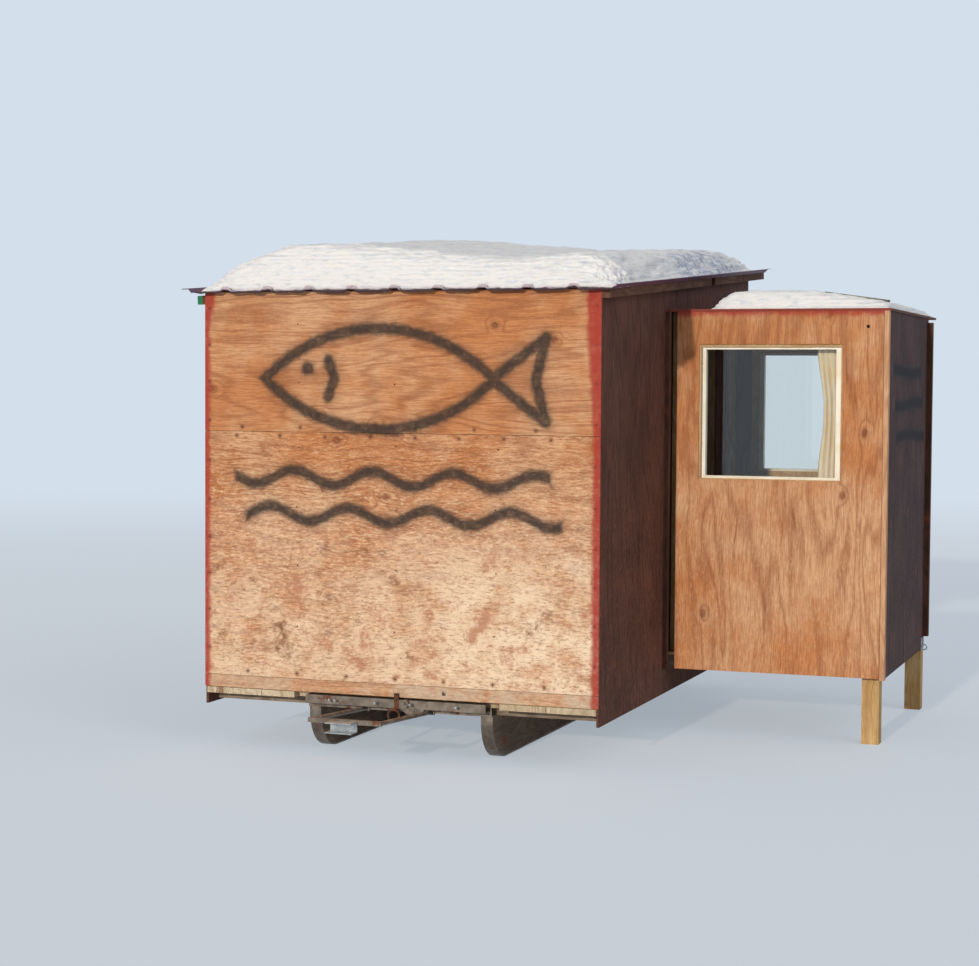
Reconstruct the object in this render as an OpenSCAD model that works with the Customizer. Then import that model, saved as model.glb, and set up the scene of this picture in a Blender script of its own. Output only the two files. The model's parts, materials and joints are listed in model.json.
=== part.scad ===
// Ice fishing hut: a plywood box hut on a towing sledge, with a smaller plywood annex on its
// right side. The low eave of the mono-pitch roof is at the front, where the drawbar is.
// Sizes are in millimetres. Inside the modules x = 0 is the outer face of the main hut's right
// wall, y = 0 is the front face and z = 0 is the lower edge of the front wall. The whole hut is
// then moved so that the origin is on the ground under the middle of its outline.

/* [Main hut] */
// Width of the main hut over its wall sheets
main_w = 2065; // [1800:5:2600]
// Depth of the main hut over its wall sheets
main_d = 3060; // [2900:10:3800]
// Thickness of the plywood wall sheets
sheet_t = 12; // [9:1:18]
// Height of the narrow plywood strip under the front wall sheets
front_strip_h = 60; // [40:5:150]
// Height of the lower front sheet, the width of a plywood sheet
lower_sheet_h = 1220; // [1000:10:1250]
// Height of the upper front sheet
upper_sheet_h = 688; // [600:2:900]
// Open joint between two wall sheets
sheet_gap = 2; // [1:0.5:4]
// How far the side walls reach below the front wall
side_drop = 90; // [60:5:150]
// Height of the front wall's lower edge above the ground
ground_clear = 300; // [260:5:400]

/* [Framing] */
// Width and depth of the studs and plates
stud_t = 45; // [36:1:60]
// Open joint between two pieces of framing
frame_gap = 1; // [0.5:0.5:2]
// Number of studs in the front wall, with both corners
front_stud_count = 5; // [3:1:7]
// Number of studs in the left wall between the corners
side_stud_count = 4; // [2:1:6]
// Thickness of the floor planks
plank_t = 30; // [20:1:40]
// Number of full floor planks side by side
plank_count = 8; // [6:1:12]
// Width of the narrow floor plank along the left wall
first_plank_w = 52; // [30:2:150]
// Gap between two floor planks
plank_gap = 3; // [1:0.5:6]
// Number of floor joists
joist_count = 6; // [5:1:7]
// Distance of the first joist from the front face
joist_inset = 120; // [100:5:200]

/* [Roof] */
// Fall of the main roof towards the front
roof_slope = 4.26; // [2:0.1:8]
// Overhang of the roof sheet past the left wall
roof_over_left = 110; // [60:5:200]
// Overhang of the roof sheet past the right wall
roof_over_right = 104; // [60:2:200]
// Overhang of the roof sheet past the front wall
roof_over_front = 40; // [20:5:120]
// Overhang of the roof sheet past the back wall
roof_over_back = 175; // [80:5:300]
// Thickness of the steel roof sheet
roof_steel_t = 1; // [0.6:0.1:2]
// Height of a roof rib
rib_h = 20; // [12:1:35]
// Width of a rib at its crest
rib_crest_w = 32; // [20:1:50]
// Width of a rib's sloping flank
rib_flank_w = 18; // [8:1:35]
// Distance between two ribs
rib_pitch = 225.4; // [180:0.2:260]
// Distance of the first rib's centre from the roof's left edge
rib_start = 19; // [10:1:120]
// Width and height of the verge battens under the roof's side edges
verge_batten_t = 43; // [30:1:60]
// Distance that the verge battens reach past the back wall
verge_batten_past = 233; // [80:1:300]
// Distance of the left verge batten below the roof sheet
left_verge_drop = 17; // [0:1:40]
// Distance of the joint in the left verge batten from the front face
left_batten_joint_y = 1960; // [1500:10:2500]
// Distance of the open place in the right verge batten from the front face
right_batten_gap_y = 1960; // [1500:10:2400]
// Length of the open place in the right verge batten
right_batten_gap = 80; // [20:5:150]
// Distance of the joint in the right verge batten from the front face
right_batten_joint_y = 2730; // [2600:10:2900]
// Width of the joint in the right verge batten
right_batten_joint = 12; // [2:1:30]
// Height of the roof purlins
purlin_h = 45; // [36:1:70]
// Width of the roof purlins
purlin_w = 70; // [45:1:95]
// Number of roof purlins
purlin_count = 6; // [4:1:9]

/* [Sledge] */
// Width over the cross members
sledge_w = 966; // [800:2:1200]
// Distance of the sledge's centre line from the main hut's, to the left
sledge_shift = 0; // [0:1:120]
// Width of a runner
runner_w = 60; // [45:1:100]
// Radius of a runner's upturned nose
nose_r = 190; // [150:5:210]
// Thickness of the steel shoe under a runner
shoe_t = 8; // [4:1:12]
// Height of the steel cross members
cross_h = 44; // [38:1:70]
// Width of the cross members' flanges
cross_flange = 40; // [30:1:60]
// Thickness of the cross members' steel
cross_t = 5; // [3:0.5:8]
// Distance of the front cross member from the front face
cross_inset = 52; // [40:1:75]
// Distance of each other cross member behind a floor joist
cross_from_joist = 20; // [5:1:60]
// Distance of the runners' noses behind the front cross member's face
runner_set_back = 20; // [0:1:30]
// Length of the head beam across the front end of the floor planks
head_l = 945; // [700:5:1200]
// Height of the head beam
head_h = 42; // [36:1:60]
// Distance of the head beam below the front wall's lower edge
head_drop = 12; // [6:1:20]
// How far the head beam stands out in front of the wall
head_past = 8; // [0:1:30]
// Room in the floor planks beside each end of the head beam
head_room = 68; // [20:2:120]
// Number of spring leaves under the head beam
leaf_count = 4; // [1:1:6]
// Thickness of a spring leaf
leaf_t = 8; // [5:1:12]
// Length of the longest spring leaf
leaf_l = 120; // [90:2:160]
// Diameter of the spring eye on the head beam's face
eye_d = 38; // [26:1:44]
// How far the spring eye stands out
eye_l = 26; // [15:1:40]
// Distance between the centre lines of the drawbar's two legs
drawbar_w = 344; // [280:2:440]
// Reach of the drawbar in front of the front wall
drawbar_l = 600; // [300:10:900]
// Diameter of the drawbar's tubes
drawbar_tube_d = 21; // [16:1:34]
// Rise of the drawbar from the cross member to its front bar
drawbar_rise = 41; // [0:1:80]
// Width of the coupling bracket
coupler_w = 133; // [80:1:180]
// Height of the coupling bracket
coupler_h = 50; // [40:1:80]
// Reach of the coupling bracket in front of the drawbar
coupler_l = 70; // [50:1:120]
// Thickness of the coupling bracket's steel
coupler_t = 5; // [3:0.5:8]
// Distance of the coupling bracket's middle below the drawbar's front bar
coupler_drop = 20; // [5:1:25]
// Diameter of the coupling pin
coupler_pin_d = 16; // [10:1:24]
// Distance of the coupling pin from the bracket's front edge
coupler_pin_inset = 28; // [20:1:30]
// Outer diameter of the tow ring
tow_ring_d = 70; // [60:1:110]
// Diameter of the tow ring's rod
tow_ring_rod_d = 12; // [8:1:18]
// Width of the flat hook that holds the tow ring
ring_hook_w = 24; // [16:1:30]
// Thickness of that hook
ring_hook_t = 4; // [3:0.5:6]
// Height of that hook's top above the front wall's lower edge
ring_hook_top = 19; // [10:1:40]

/* [Annex] */
// Width of the annex over its sheets, from the main hut's wall
annex_w = 1146; // [1060:2:1400]
// Depth of the annex over its sheets
annex_d = 1390; // [1330:5:1750]
// Distance of the annex's front face behind the main hut's
annex_setback = 1190; // [900:5:1200]
// Height of the annex's walls
annex_wall_h = 1860; // [1800:5:2000]
// Height of the annex walls' lower edge above the main front wall's
annex_lift = 45; // [20:1:120]
// Height of the annex's floor joists
annex_joist_h = 70; // [45:1:95]
// Thickness of the annex's roof deck
annex_deck_t = 12; // [9:1:18]
// Overhang of the annex's roof deck past its side wall
annex_over_side = 8; // [2:1:60]
// Overhang of the annex's roof deck past its front wall
annex_over_front = 4; // [0:1:40]
// Overhang of the annex's roof deck past its back wall
annex_over_back = 245; // [20:5:320]
// Width of the annex's front corner board, seen from the front
corner_board_w = 24; // [18:1:45]
// Depth of the annex's front corner board
corner_board_d = 45; // [30:1:70]
// How far the corner board reaches below the front panel
corner_board_drop = 8; // [0:1:30]
// How far the back corner batten stands out from the side wall
back_batten_t = 29; // [15:1:45]
// Width of the back corner batten along the side wall
back_batten_w = 45; // [30:1:70]
// Distance of the back corner batten from the wall's top
back_batten_top = 23; // [10:1:60]
// Distance of the back corner batten from the wall's lower edge
back_batten_foot = 68; // [30:1:120]
// Width of the batten in the corner between the main hut and the annex
junction_w = 22; // [15:1:38]
// Depth of that batten
junction_d = 42; // [20:1:60]
// Open gap between the main hut's wall and the annex's front panel
annex_gap = 54; // [45:1:80]
// Distance from the annex's front face to the stud that closes that gap
closing_inset = 120; // [80:5:200]
// Width of an annex post
post_w = 88; // [60:1:100]
// Distance of the front post from the outer face of the side wall
post_inset_x = 33; // [25:1:80]
// Distance of the front post from the annex's front face
post_inset_front = 60; // [20:1:150]
// Distance of the back post from the outer faces of the side and back walls
back_post_inset = 2; // [0:1:40]

/* [Windows] */
// Width of the window frames
window_w = 726; // [600:2:760]
// Height of the window frames
window_h = 678; // [500:2:740]
// Height of the front window frame's lower edge above the annex walls' lower edge
front_window_sill = 1000; // [800:2:1040]
// Height of the back window frame's lower edge above the annex walls' lower edge
back_window_sill = 987; // [800:1:1040]
// Distance of the front window frame from the front panel's left edge
front_window_inset = 126; // [92:2:170]
// Distance of the back window frame from the main hut's wall
back_window_x = 196; // [120:2:220]
// Clearance between a window frame's sides and the panel's cut-out
window_clear = 9; // [4:1:15]
// Clearance over a window frame
window_clear_head = 14; // [4:1:20]
// Clearance under a window frame
window_clear_foot = 6; // [2:1:15]
// Width of a window frame's side bars
window_bar_w = 25; // [20:1:45]
// Height of a window frame's head and foot bars
window_head_h = 13; // [13:1:45]
// Depth of the window frames
window_frame_d = 40; // [32:1:60]
// How far the window frames stand back from the panel's outer face
window_recess = 10; // [0:1:12]
// Width of the lip between the glass and the groove round it
window_lip = 6; // [3:1:8]
// Depth and width of the groove round the glass
window_groove = 3; // [2:1:4]
// Thickness of the glass
glass_t = 4; // [3:1:6]
// Width of the gathered curtain
curtain_w = 130; // [100:2:200]
// Depth of the curtain's folds
curtain_fold_d = 24; // [15:1:40]
// Number of folds in the gathered curtain
curtain_folds = 5; // [3:1:8]
// Length of the hanging curtain
curtain_h = 700; // [500:5:740]
// How far the curtain reaches behind the window frame's side bar
curtain_behind_bar = 15; // [5:1:25]
// Height of the curtain rail's top above the window frame
curtain_rail_rise = 5; // [0:1:20]
// Height of the curtain rail
curtain_rail_h = 20; // [15:1:30]
// Thickness of the curtain rail
curtain_rail_t = 10; // [8:1:20]

/* [Doorways] */
// Width of the doorway between the main hut and the annex
doorway_w = 700; // [600:5:800]
// Distance of that doorway from the annex's front face
doorway_y = 400; // [250:5:500]
// Height of that doorway's head above the front wall's lower edge
doorway_head = 1780; // [1650:5:1800]
// Width of the doorway in the back wall
door_w = 700; // [600:5:800]
// Height of the doorway in the back wall
door_h = 1800; // [1600:5:1900]
// Clearance round the closed back door
door_gap = 3; // [2:0.5:6]
// Thickness of the back door's boards
door_board_t = 21; // [18:1:30]
// Thickness of the back door's ledges
door_ledge_t = 21; // [15:1:30]
// Width of the back door's ledges
door_ledge_w = 120; // [80:5:160]
// Length of a strap hinge
hinge_l = 300; // [200:5:400]
// Width of a strap hinge
hinge_w = 40; // [25:1:60]
// Thickness of a strap hinge
hinge_t = 5; // [3:0.5:8]

/* [Snow] */
// Greatest depth of the snow on the main roof
main_snow_h = 245; // [100:5:300]
// Distance from the main roof's snow to the roof's left edge
main_snow_left = 38; // [20:1:100]
// Distance from the main roof's snow to the roof's right edge
main_snow_right = 6; // [2:1:60]
// Distance from the main roof's snow to the roof's front edge
main_snow_front = 4; // [2:1:40]
// Distance from the main roof's snow to the back face of the hut
main_snow_back = 30; // [0:5:200]
// Greatest depth of the snow on the annex roof
annex_snow_h = 110; // [50:5:200]
// Distance from the annex snow to the main hut's wall
annex_snow_gap = 220; // [100:5:300]
// Distance from the annex snow to the deck's other edges
annex_snow_inset = 12; // [6:1:60]
// Length of the lath that lies on the annex roof
lath_l = 340; // [200:10:500]
// Width of that lath
lath_w = 40; // [25:1:60]
// Thickness of that lath
lath_t = 12; // [8:1:20]

/* [Tie hook] */
// Width of the tie hook's plate
hook_w = 34; // [24:1:50]
// Height of the tie hook's plate
hook_h = 70; // [50:1:100]
// Thickness of the tie hook's plate
hook_t = 4; // [3:0.5:6]
// Outer diameter of the tie hook's eye
hook_eye_d = 35; // [28:1:45]
// Diameter of the eye's rod
hook_rod_d = 7; // [5:0.5:10]

/* [Hidden] */

// Main hut levels
plank_top = -4;
plank_bottom = plank_top - plank_t;
lower_z = front_strip_h + sheet_gap;
upper_z = lower_z + lower_sheet_h + sheet_gap;
roof_z0 = upper_z + upper_sheet_h;
slope_rise = tan(roof_slope);
slope_cos = cos(roof_slope);
function roof_z(y) = roof_z0 + slope_rise * y;
function purlin_under(y) = roof_z(y) - purlin_h / slope_cos;
function plate_under(y) = purlin_under(y) - stud_t;

// Inner faces of the main hut's sheets
in_left = -main_w + sheet_t;
in_right = -sheet_t;
in_front = sheet_t;
in_back = main_d - sheet_t;
in_w = in_right - in_left;

// Roof in its own plane: u runs up the slope from the front wall
roof_u0 = -roof_over_front / slope_cos;
roof_u1 = (main_d + roof_over_back) / slope_cos;
roof_x0 = -main_w - roof_over_left;
roof_x1 = roof_over_right;
rib_foot_w = rib_crest_w + 2 * rib_flank_w;
rib_last = ceil((roof_x1 - roof_x0 - rib_start) / rib_pitch);
function rib_x(i) = roof_x0 + rib_start + i * rib_pitch;

// Snow on the main roof
main_snow_x0 = roof_x0 + main_snow_left;
main_snow_x1 = roof_x1 - main_snow_right;
main_snow_y0 = -roof_over_front + main_snow_front;
main_snow_y1 = main_d - main_snow_back;
snow_rim = 3;
// How the depth grows in from an edge, as a reach and a power
left_growth = [160, 1.15];
right_growth = [45, 1.3];
front_growth = [55, 1.25];
// The share it loses to the right, where that starts from the left edge and over what length
thin_share = 0.22;
thin_start = 800;
thin_run = 1500;
// Where the fall to the back edge starts, and the power of its curve
back_fall_y = 1850;
back_fall_power = 2.2;

// Sledge levels and places
sledge_x = -main_w / 2 - sledge_shift;
cross_bottom = plank_bottom - cross_h;
runner_bottom = -ground_clear + shoe_t;
joist_h = cross_h;
joist_pitch = (main_d - 2 * joist_inset - stud_t) / (joist_count - 1);
function joist_y(i) = joist_inset + i * joist_pitch;
cross_y = concat([cross_inset],
    [for (i = [1, joist_count - 3, joist_count - 1]) joist_y(i) + stud_t + cross_from_joist]);
runner_y0 = cross_inset + runner_set_back;
runner_y1 = main_d - runner_set_back;
runner_xs = [sledge_x - sledge_w / 2, sledge_x + sledge_w / 2 - runner_w];

// Head beam, and the notch for it in the floor planks
head_z1 = -head_drop;
head_z0 = head_z1 - head_h;
head_x0 = sledge_x - head_l / 2;
head_x1 = sledge_x + head_l / 2;
notch_past = 8;

// Drawbar: its legs pass under the head beam to lugs on the front cross member
lug_t = 8;
lug_w = 36;
lug_edge = 3;
drawbar_clear = 3;
drawbar_run = drawbar_l + cross_inset - lug_t / 2;
drawbar_tilt = atan(drawbar_rise / drawbar_run);
drawbar_z = head_z0 - drawbar_clear - drawbar_tube_d / 2
    - drawbar_rise * (head_past + cross_inset) / drawbar_run;
drawbar_front_z = drawbar_z + drawbar_rise;
coupler_z = drawbar_front_z - coupler_drop;
leg_x = [sledge_x - drawbar_w / 2, sledge_x + drawbar_w / 2];

// Spring leaves beside the right leg, and the spring eye over them
leaf_clear = 9;
leaf_step = 4;
leaf_x1 = leg_x[1] - drawbar_tube_d / 2 - leaf_clear;
leaf_y1 = cross_inset - lug_t - leaf_step;
eye_along = 0.75;
eye_low = 14;
eye_x = leaf_x1 - eye_along * leaf_l;
eye_z = head_z1 - eye_low;
eye_bolt_d = 20;
eye_bolt_h = 6;

// Tow ring in front of the head beam
ring_clear = 2;
ring_y = -head_past - ring_clear - tow_ring_rod_d / 2;
ring_z = head_z0 - tow_ring_d / 2;
ring_hook_x = sledge_x;

// Annex levels and places
annex_y1 = annex_setback + annex_d;
annex_top = annex_lift + annex_wall_h;
annex_in_right = annex_w - sheet_t;
annex_in_front = annex_setback + sheet_t;
annex_in_back = annex_y1 - sheet_t;
annex_frame_y0 = annex_in_front + stud_t;
annex_frame_y1 = annex_in_back - stud_t;
annex_floor_z = annex_lift + annex_joist_h;
annex_floor_top = annex_floor_z + sheet_t;
annex_deck_top = annex_top + annex_deck_t;
board_x = annex_w - corner_board_w;
front_post_x = annex_w - post_inset_x - post_w;
front_post_y = annex_setback + post_inset_front;
back_post_x = annex_w - back_post_inset - post_w;
back_post_y = annex_y1 - back_post_inset - post_w;
closing_y = annex_setback + closing_inset;

// Snow and lath on the annex's deck
annex_snow_x1 = annex_w + annex_over_side - annex_snow_inset;
annex_snow_y0 = annex_setback - annex_over_front + annex_snow_inset;
annex_snow_y1 = annex_y1 + annex_over_back - annex_snow_inset;
annex_left_growth = [50, 0.9];
annex_right_growth = [12, 1];
annex_front_growth = [50, 1.2];
annex_back_growth = [100, 1.2];
// The bend in its top, how round that is, and the length over which it would fall to nothing
annex_snow_bend = annex_w - 446;
annex_bend_r = 40;
annex_fall_run = 630;
lath_inset_x = 40;
lath_inset_y = 260;
lath_rise = 38;
lath_lean = -8;
lath_turn = 172;

// Tie hook
hook_reach = hook_t + hook_eye_d - hook_rod_d / 2;
hook_drop = 5;
hook_from_batten = 34;

// Windows
front_window_x = annex_gap + front_window_inset;
front_window_z = annex_lift + front_window_sill;
back_window_z = annex_lift + back_window_sill;
front_frame_y = annex_setback + window_recess;
back_frame_y = annex_y1 - window_recess - window_frame_d;
rail_y = annex_frame_y0;
curtain_swing = 0.25;
fold_steps = 8;
curtain_top = front_window_z + window_h + curtain_rail_rise;
curtain_x = front_window_x + window_w - window_bar_w + curtain_behind_bar - curtain_w;

// Doorways
way_y0 = annex_setback + doorway_y;
way_y1 = way_y0 + doorway_w;
door_x0 = -main_w / 2 - door_w / 2;
door_x1 = door_x0 + door_w;
door_t = door_board_t + door_ledge_t;
hinge_on_door = 0.75;
handle_inset = 70;
handle_z = 890;
handle_w = 30;
handle_h = 120;
handle_t = 4;
handle_reach = 38;
handle_bar_w = 10;
handle_bar_t = 8;

// The outline over everything, for the place of the origin
outline_x0 = roof_x0;
outline_x1 = annex_w + max(back_batten_t, annex_over_side, hook_reach);
outline_y0 = -drawbar_l - drawbar_tube_d / 2 - coupler_l;
outline_y1 = main_d + max(roof_over_back,
    verge_batten_past + (verge_batten_t + left_verge_drop) * sin(roof_slope));

// Colours
ply_orange = "#c98a5c";
ply_pale = "#d8ac80";
ply_shade = "#7a4a38";
timber = "#c9a878";
grey_timber = "#8d7f6c";
roof_plum = "#5a3347";
steel_grey = "#8a8a86";
snow_white = "#f4f6fa";

// A box from its lowest corner to its highest
module block(a, b) {
    translate(a) cube(b - a);
}

// A plate of the yz outline points, from x0 to x1
module side_slab(x0, x1, points) {
    translate([x0, 0, 0])
        rotate([90, 0, 90])
            linear_extrude(height = x1 - x0)
                polygon(points);
}

// Everything inside is drawn in the roof's own plane
module on_roof() {
    translate([0, 0, roof_z0]) rotate([roof_slope, 0, 0]) children();
}

// Main hut walls
module front_sheet(z0, z1) {
    block([-main_w, 0, z0], [0, sheet_t, z1]);
}

module front_lower_sheet() {
    color(ply_pale) front_sheet(lower_z, lower_z + lower_sheet_h);
}

module front_upper_sheet() {
    color(ply_orange) front_sheet(upper_z, roof_z0);
}

module front_bottom_strip() {
    color(ply_pale) front_sheet(0, front_strip_h);
}

// A length of side wall from y0 to y1, from z0 up to the roof
module side_wall(x0, y0, y1, z0) {
    side_slab(x0, x0 + sheet_t, [[y0, z0], [y1, z0], [y1, roof_z(y1)], [y0, roof_z(y0)]]);
}

module left_wall() {
    color(ply_shade) side_wall(-main_w, in_front, in_back, -side_drop);
}

module right_wall_front() {
    color(ply_shade) side_wall(in_right, in_front, way_y0, -side_drop);
}

module right_wall_back() {
    color(ply_shade) side_wall(in_right, way_y1, in_back, -side_drop);
}

module right_wall_over_doorway() {
    color(ply_shade) side_wall(in_right, way_y0, way_y1, doorway_head);
}

module doorway_threshold() {
    color(ply_shade) block([in_right, way_y0, -side_drop], [0, way_y1, annex_floor_top]);
}

module back_sheet(x0, x1, z0) {
    block([x0, in_back, z0], [x1, main_d, roof_z(in_back)]);
}

module back_wall_left() {
    color(ply_shade) back_sheet(-main_w, door_x0, 0);
}

module back_wall_right() {
    color(ply_shade) back_sheet(door_x1, 0, 0);
}

module back_wall_over_door() {
    color(ply_shade) back_sheet(door_x0, door_x1, door_h);
}

// Framing. Plates and stud tops follow the slope of the purlins
module sloped_stud(x0, x1, y0, y1) {
    side_slab(x0, x1, [[y0, plank_top + stud_t], [y1, plank_top + stud_t],
        [y1, plate_under(y1)], [y0, plate_under(y0)]]);
}

module sloped_plate(x0, x1, y0, y1) {
    side_slab(x0, x1, [[y0, plate_under(y0)], [y1, plate_under(y1)],
        [y1, purlin_under(y1)], [y0, purlin_under(y0)]]);
}

module main_studs() {
    front_pitch = (in_w - stud_t) / (front_stud_count - 1);
    side_len = in_back - in_front - 2 * stud_t;
    side_pitch = side_len / (side_stud_count + 1);
    for (i = [0 : front_stud_count - 1])
        sloped_stud(in_left + i * front_pitch, in_left + i * front_pitch + stud_t,
            in_front, in_front + stud_t);
    for (x = [in_left, door_x0 - stud_t, door_x1, in_right - stud_t])
        sloped_stud(x, x + stud_t, in_back - stud_t, in_back);
    for (i = [1 : side_stud_count]) {
        y = in_front + stud_t + i * side_pitch - stud_t / 2;
        sloped_stud(in_left, in_left + stud_t, y, y + stud_t);
    }
    for (y = [(in_front + way_y0) / 2 - stud_t / 2, way_y0 - stud_t, way_y1])
        sloped_stud(in_right - stud_t, in_right, y, y + stud_t);
}

module main_plates() {
    z0 = plank_top;
    z1 = plank_top + stud_t;
    y0 = in_front + stud_t;
    y1 = in_back - stud_t;
    side_y0 = y0 + frame_gap;
    side_y1 = y1 - frame_gap;
    block([in_left, in_front, z0], [in_right, y0, z1]);
    block([in_left, side_y0, z0], [in_left + stud_t, side_y1, z1]);
    block([in_right - stud_t, side_y0, z0], [in_right, way_y0, z1]);
    block([in_right - stud_t, way_y1, z0], [in_right, side_y1, z1]);
    block([in_left, y1, z0], [door_x0, in_back, z1]);
    block([door_x1, y1, z0], [in_right, in_back, z1]);
    sloped_plate(in_left, in_right, in_front, y0);
    sloped_plate(in_left, in_right, y1, in_back);
    sloped_plate(in_left, in_left + stud_t, side_y0, side_y1);
    sloped_plate(in_right - stud_t, in_right, side_y0, side_y1);
    block([door_x0, y1, door_h], [door_x1, in_back, door_h + stud_t]);
    block([in_right - stud_t, way_y0, doorway_head],
        [in_right, way_y1, doorway_head + stud_t]);
}

module annex_studs() {
    y_mid = (annex_frame_y0 + annex_frame_y1 - stud_t) / 2;
    module stud(x, y) block([x, y, annex_floor_top + stud_t],
        [x + stud_t, y + stud_t, annex_top - stud_t]);
    for (x = [annex_gap, front_window_x - stud_t, front_window_x + window_w, board_x - stud_t])
        stud(x, annex_in_front);
    for (x = [0, back_window_x - stud_t, back_window_x + window_w, annex_in_right - stud_t])
        stud(x, annex_frame_y1);
    stud(annex_in_right - stud_t, y_mid);
    block([0, closing_y, annex_floor_top], [annex_gap, closing_y + stud_t, annex_top]);
}

module annex_plates() {
    x_in = annex_in_right - stud_t;
    for (z = [annex_floor_top, annex_top - stud_t]) {
        block([annex_gap, annex_in_front, z], [board_x, annex_frame_y0, z + stud_t]);
        block([0, annex_frame_y1, z], [annex_in_right, annex_in_back, z + stud_t]);
        block([x_in, annex_frame_y0 + frame_gap, z],
            [annex_in_right, annex_frame_y1 - frame_gap, z + stud_t]);
    }
    window_rails(front_window_x, annex_in_front, front_window_z);
    window_rails(back_window_x, annex_frame_y1, back_window_z);
}

// The rails under and over one window, between its two studs
module window_rails(x, y, window_z) {
    for (z = [window_z - stud_t, window_z + window_h])
        block([x, y, z], [x + window_w, y + stud_t, z + stud_t]);
}

module wall_studs() {
    color(timber) {
        main_studs();
        annex_studs();
    }
}

module wall_plates() {
    color(timber) {
        main_plates();
        annex_plates();
    }
}

// One narrow plank, then full ones; those in the middle are cut back for the head beam
module floor_planks() {
    first_x = in_left + first_plank_w + plank_gap;
    pitch = (in_right + plank_gap - first_x) / plank_count;
    color(timber)
        difference() {
            union() {
                block([in_left, 0, plank_bottom], [first_x - plank_gap, main_d, plank_top]);
                for (i = [0 : plank_count - 1])
                    block([first_x + i * pitch, 0, plank_bottom],
                        [first_x + (i + 1) * pitch - plank_gap, main_d, plank_top]);
            }
            block([head_x0 - head_room, -1, plank_bottom - 1],
                [head_x1 + head_room, cross_inset + notch_past, plank_top + 1]);
        }
}

module floor_joists() {
    y_mid = (front_post_y + annex_frame_y1) / 2;
    color(grey_timber) {
        for (i = [0 : joist_count - 1])
            block([in_left, joist_y(i), plank_bottom - joist_h],
                [in_right, joist_y(i) + stud_t, plank_bottom]);
        for (y = [front_post_y, y_mid, annex_frame_y1])
            block([0, y, annex_lift], [board_x, y + stud_t, annex_floor_z]);
    }
}

// Roof
// A batten from the front face to past the back wall; cuts lists where it is interrupted, as the
// distance from the front face and the length of each gap
module verge_batten(x0, drop, cuts) {
    starts = concat([0], [for (cut = cuts) cut[0] + cut[1]]);
    ends = concat([for (cut = cuts) cut[0]], [main_d + verge_batten_past]);
    on_roof()
        for (i = [0 : len(starts) - 1])
            block([x0, starts[i] / slope_cos, -drop - verge_batten_t],
                [x0 + verge_batten_t, ends[i] / slope_cos, -drop]);
}

module left_verge_batten() {
    color(timber)
        verge_batten(-main_w - verge_batten_t, left_verge_drop, [[left_batten_joint_y, sheet_gap]]);
}

module right_verge_batten() {
    color(timber)
        verge_batten(0, 0, [[right_batten_gap_y, right_batten_gap],
            [right_batten_joint_y, right_batten_joint]]);
}

// Line of the trapezoid sheet, seen along the slope, from a rib before the roof to one past it
function rib_points(t) = [for (i = [-1 : rib_last + 1])
    each [[rib_x(i) - rib_foot_w / 2, t], [rib_x(i) - rib_crest_w / 2, rib_h + t],
        [rib_x(i) + rib_crest_w / 2, rib_h + t], [rib_x(i) + rib_foot_w / 2, t]]];
function reversed(points) = [for (i = [len(points) - 1 : -1 : 0]) points[i]];

module roof_sheet() {
    color(roof_plum)
        on_roof()
            translate([0, roof_u1, 0])
                rotate([90, 0, 0])
                    linear_extrude(height = roof_u1 - roof_u0)
                        intersection() {
                            polygon(concat(rib_points(0), reversed(rib_points(roof_steel_t))));
                            translate([roof_x0, -1])
                                square([roof_x1 - roof_x0, rib_h + roof_steel_t + 2]);
                        }
}

// The main roof's purlins, and the annex's two rafters between its wall and the main hut's
module roof_purlins() {
    u0 = in_front / slope_cos;
    u1 = (in_back - purlin_h * sin(roof_slope)) / slope_cos - purlin_w;
    pitch = (u1 - u0) / (purlin_count - 1);
    rafter_pitch = (annex_frame_y1 - annex_frame_y0 - stud_t) / 3;
    color(timber) {
        on_roof()
            for (i = [0 : purlin_count - 1])
                block([in_left, u0 + i * pitch, -purlin_h],
                    [in_right, u0 + i * pitch + purlin_w, 0]);
        for (i = [1, 2])
            block([0, annex_frame_y0 + i * rafter_pitch, annex_top - stud_t],
                [annex_in_right - stud_t, annex_frame_y0 + i * rafter_pitch + stud_t,
                    annex_top]);
    }
}

// Share of the snow's depth at a distance t from its edge: none there, nearly all past twice the reach
function growth(t, edge) = 1 - exp(-pow(max(t, 0) / edge[0], edge[1]));
function smooth(t) = let (c = min(max(t, 0), 1)) c * c * (3 - 2 * c);

// Share that is left towards the main roof's back edge: a quarter of a flat ellipse
function back_fall(y) =
    let (t = min(max((y - back_fall_y) / (main_snow_y1 - back_fall_y), 0), 1))
    sqrt(1 - pow(t, back_fall_power));

// Depth over the pans of the main roof. It is steep at the eave and the right, and thins to the right
function main_snow(x, y) =
    let (thin = thin_share * smooth((x - main_snow_x0 - thin_start) / thin_run))
    main_snow_h * (1 - thin) * growth(x - main_snow_x0, left_growth)
    * growth(main_snow_x1 - x, right_growth) * growth(y - main_snow_y0, front_growth)
    * back_fall(y);

// Depth on the annex. It is even near the main hut, and past the bend it falls in a straight line
function annex_snow(x, y) =
    let (past = x - annex_snow_bend,
        fall = (sqrt(past * past + annex_bend_r * annex_bend_r) + past) / 2)
    annex_snow_h * (1 - fall / annex_fall_run) * growth(x - annex_snow_gap, annex_left_growth)
    * growth(annex_snow_x1 - x, annex_right_growth) * growth(y - annex_snow_y0, annex_front_growth)
    * growth(annex_snow_y1 - y, annex_back_growth);

// From a to b in n steps that are short at both ends
function bunched(a, b, n) = [for (i = [0 : n]) a + (b - a) * (1 - cos(180 * i / n)) / 2];

// Height of the ribbed sheet's lower face over its pans, at x
function rib_line(x) =
    let (turn = (x - rib_x(0)) / rib_pitch, off = abs(turn - round(turn)) * rib_pitch)
    rib_h * min(max((rib_foot_w / 2 - off) / rib_flank_w, 0), 1);

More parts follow.
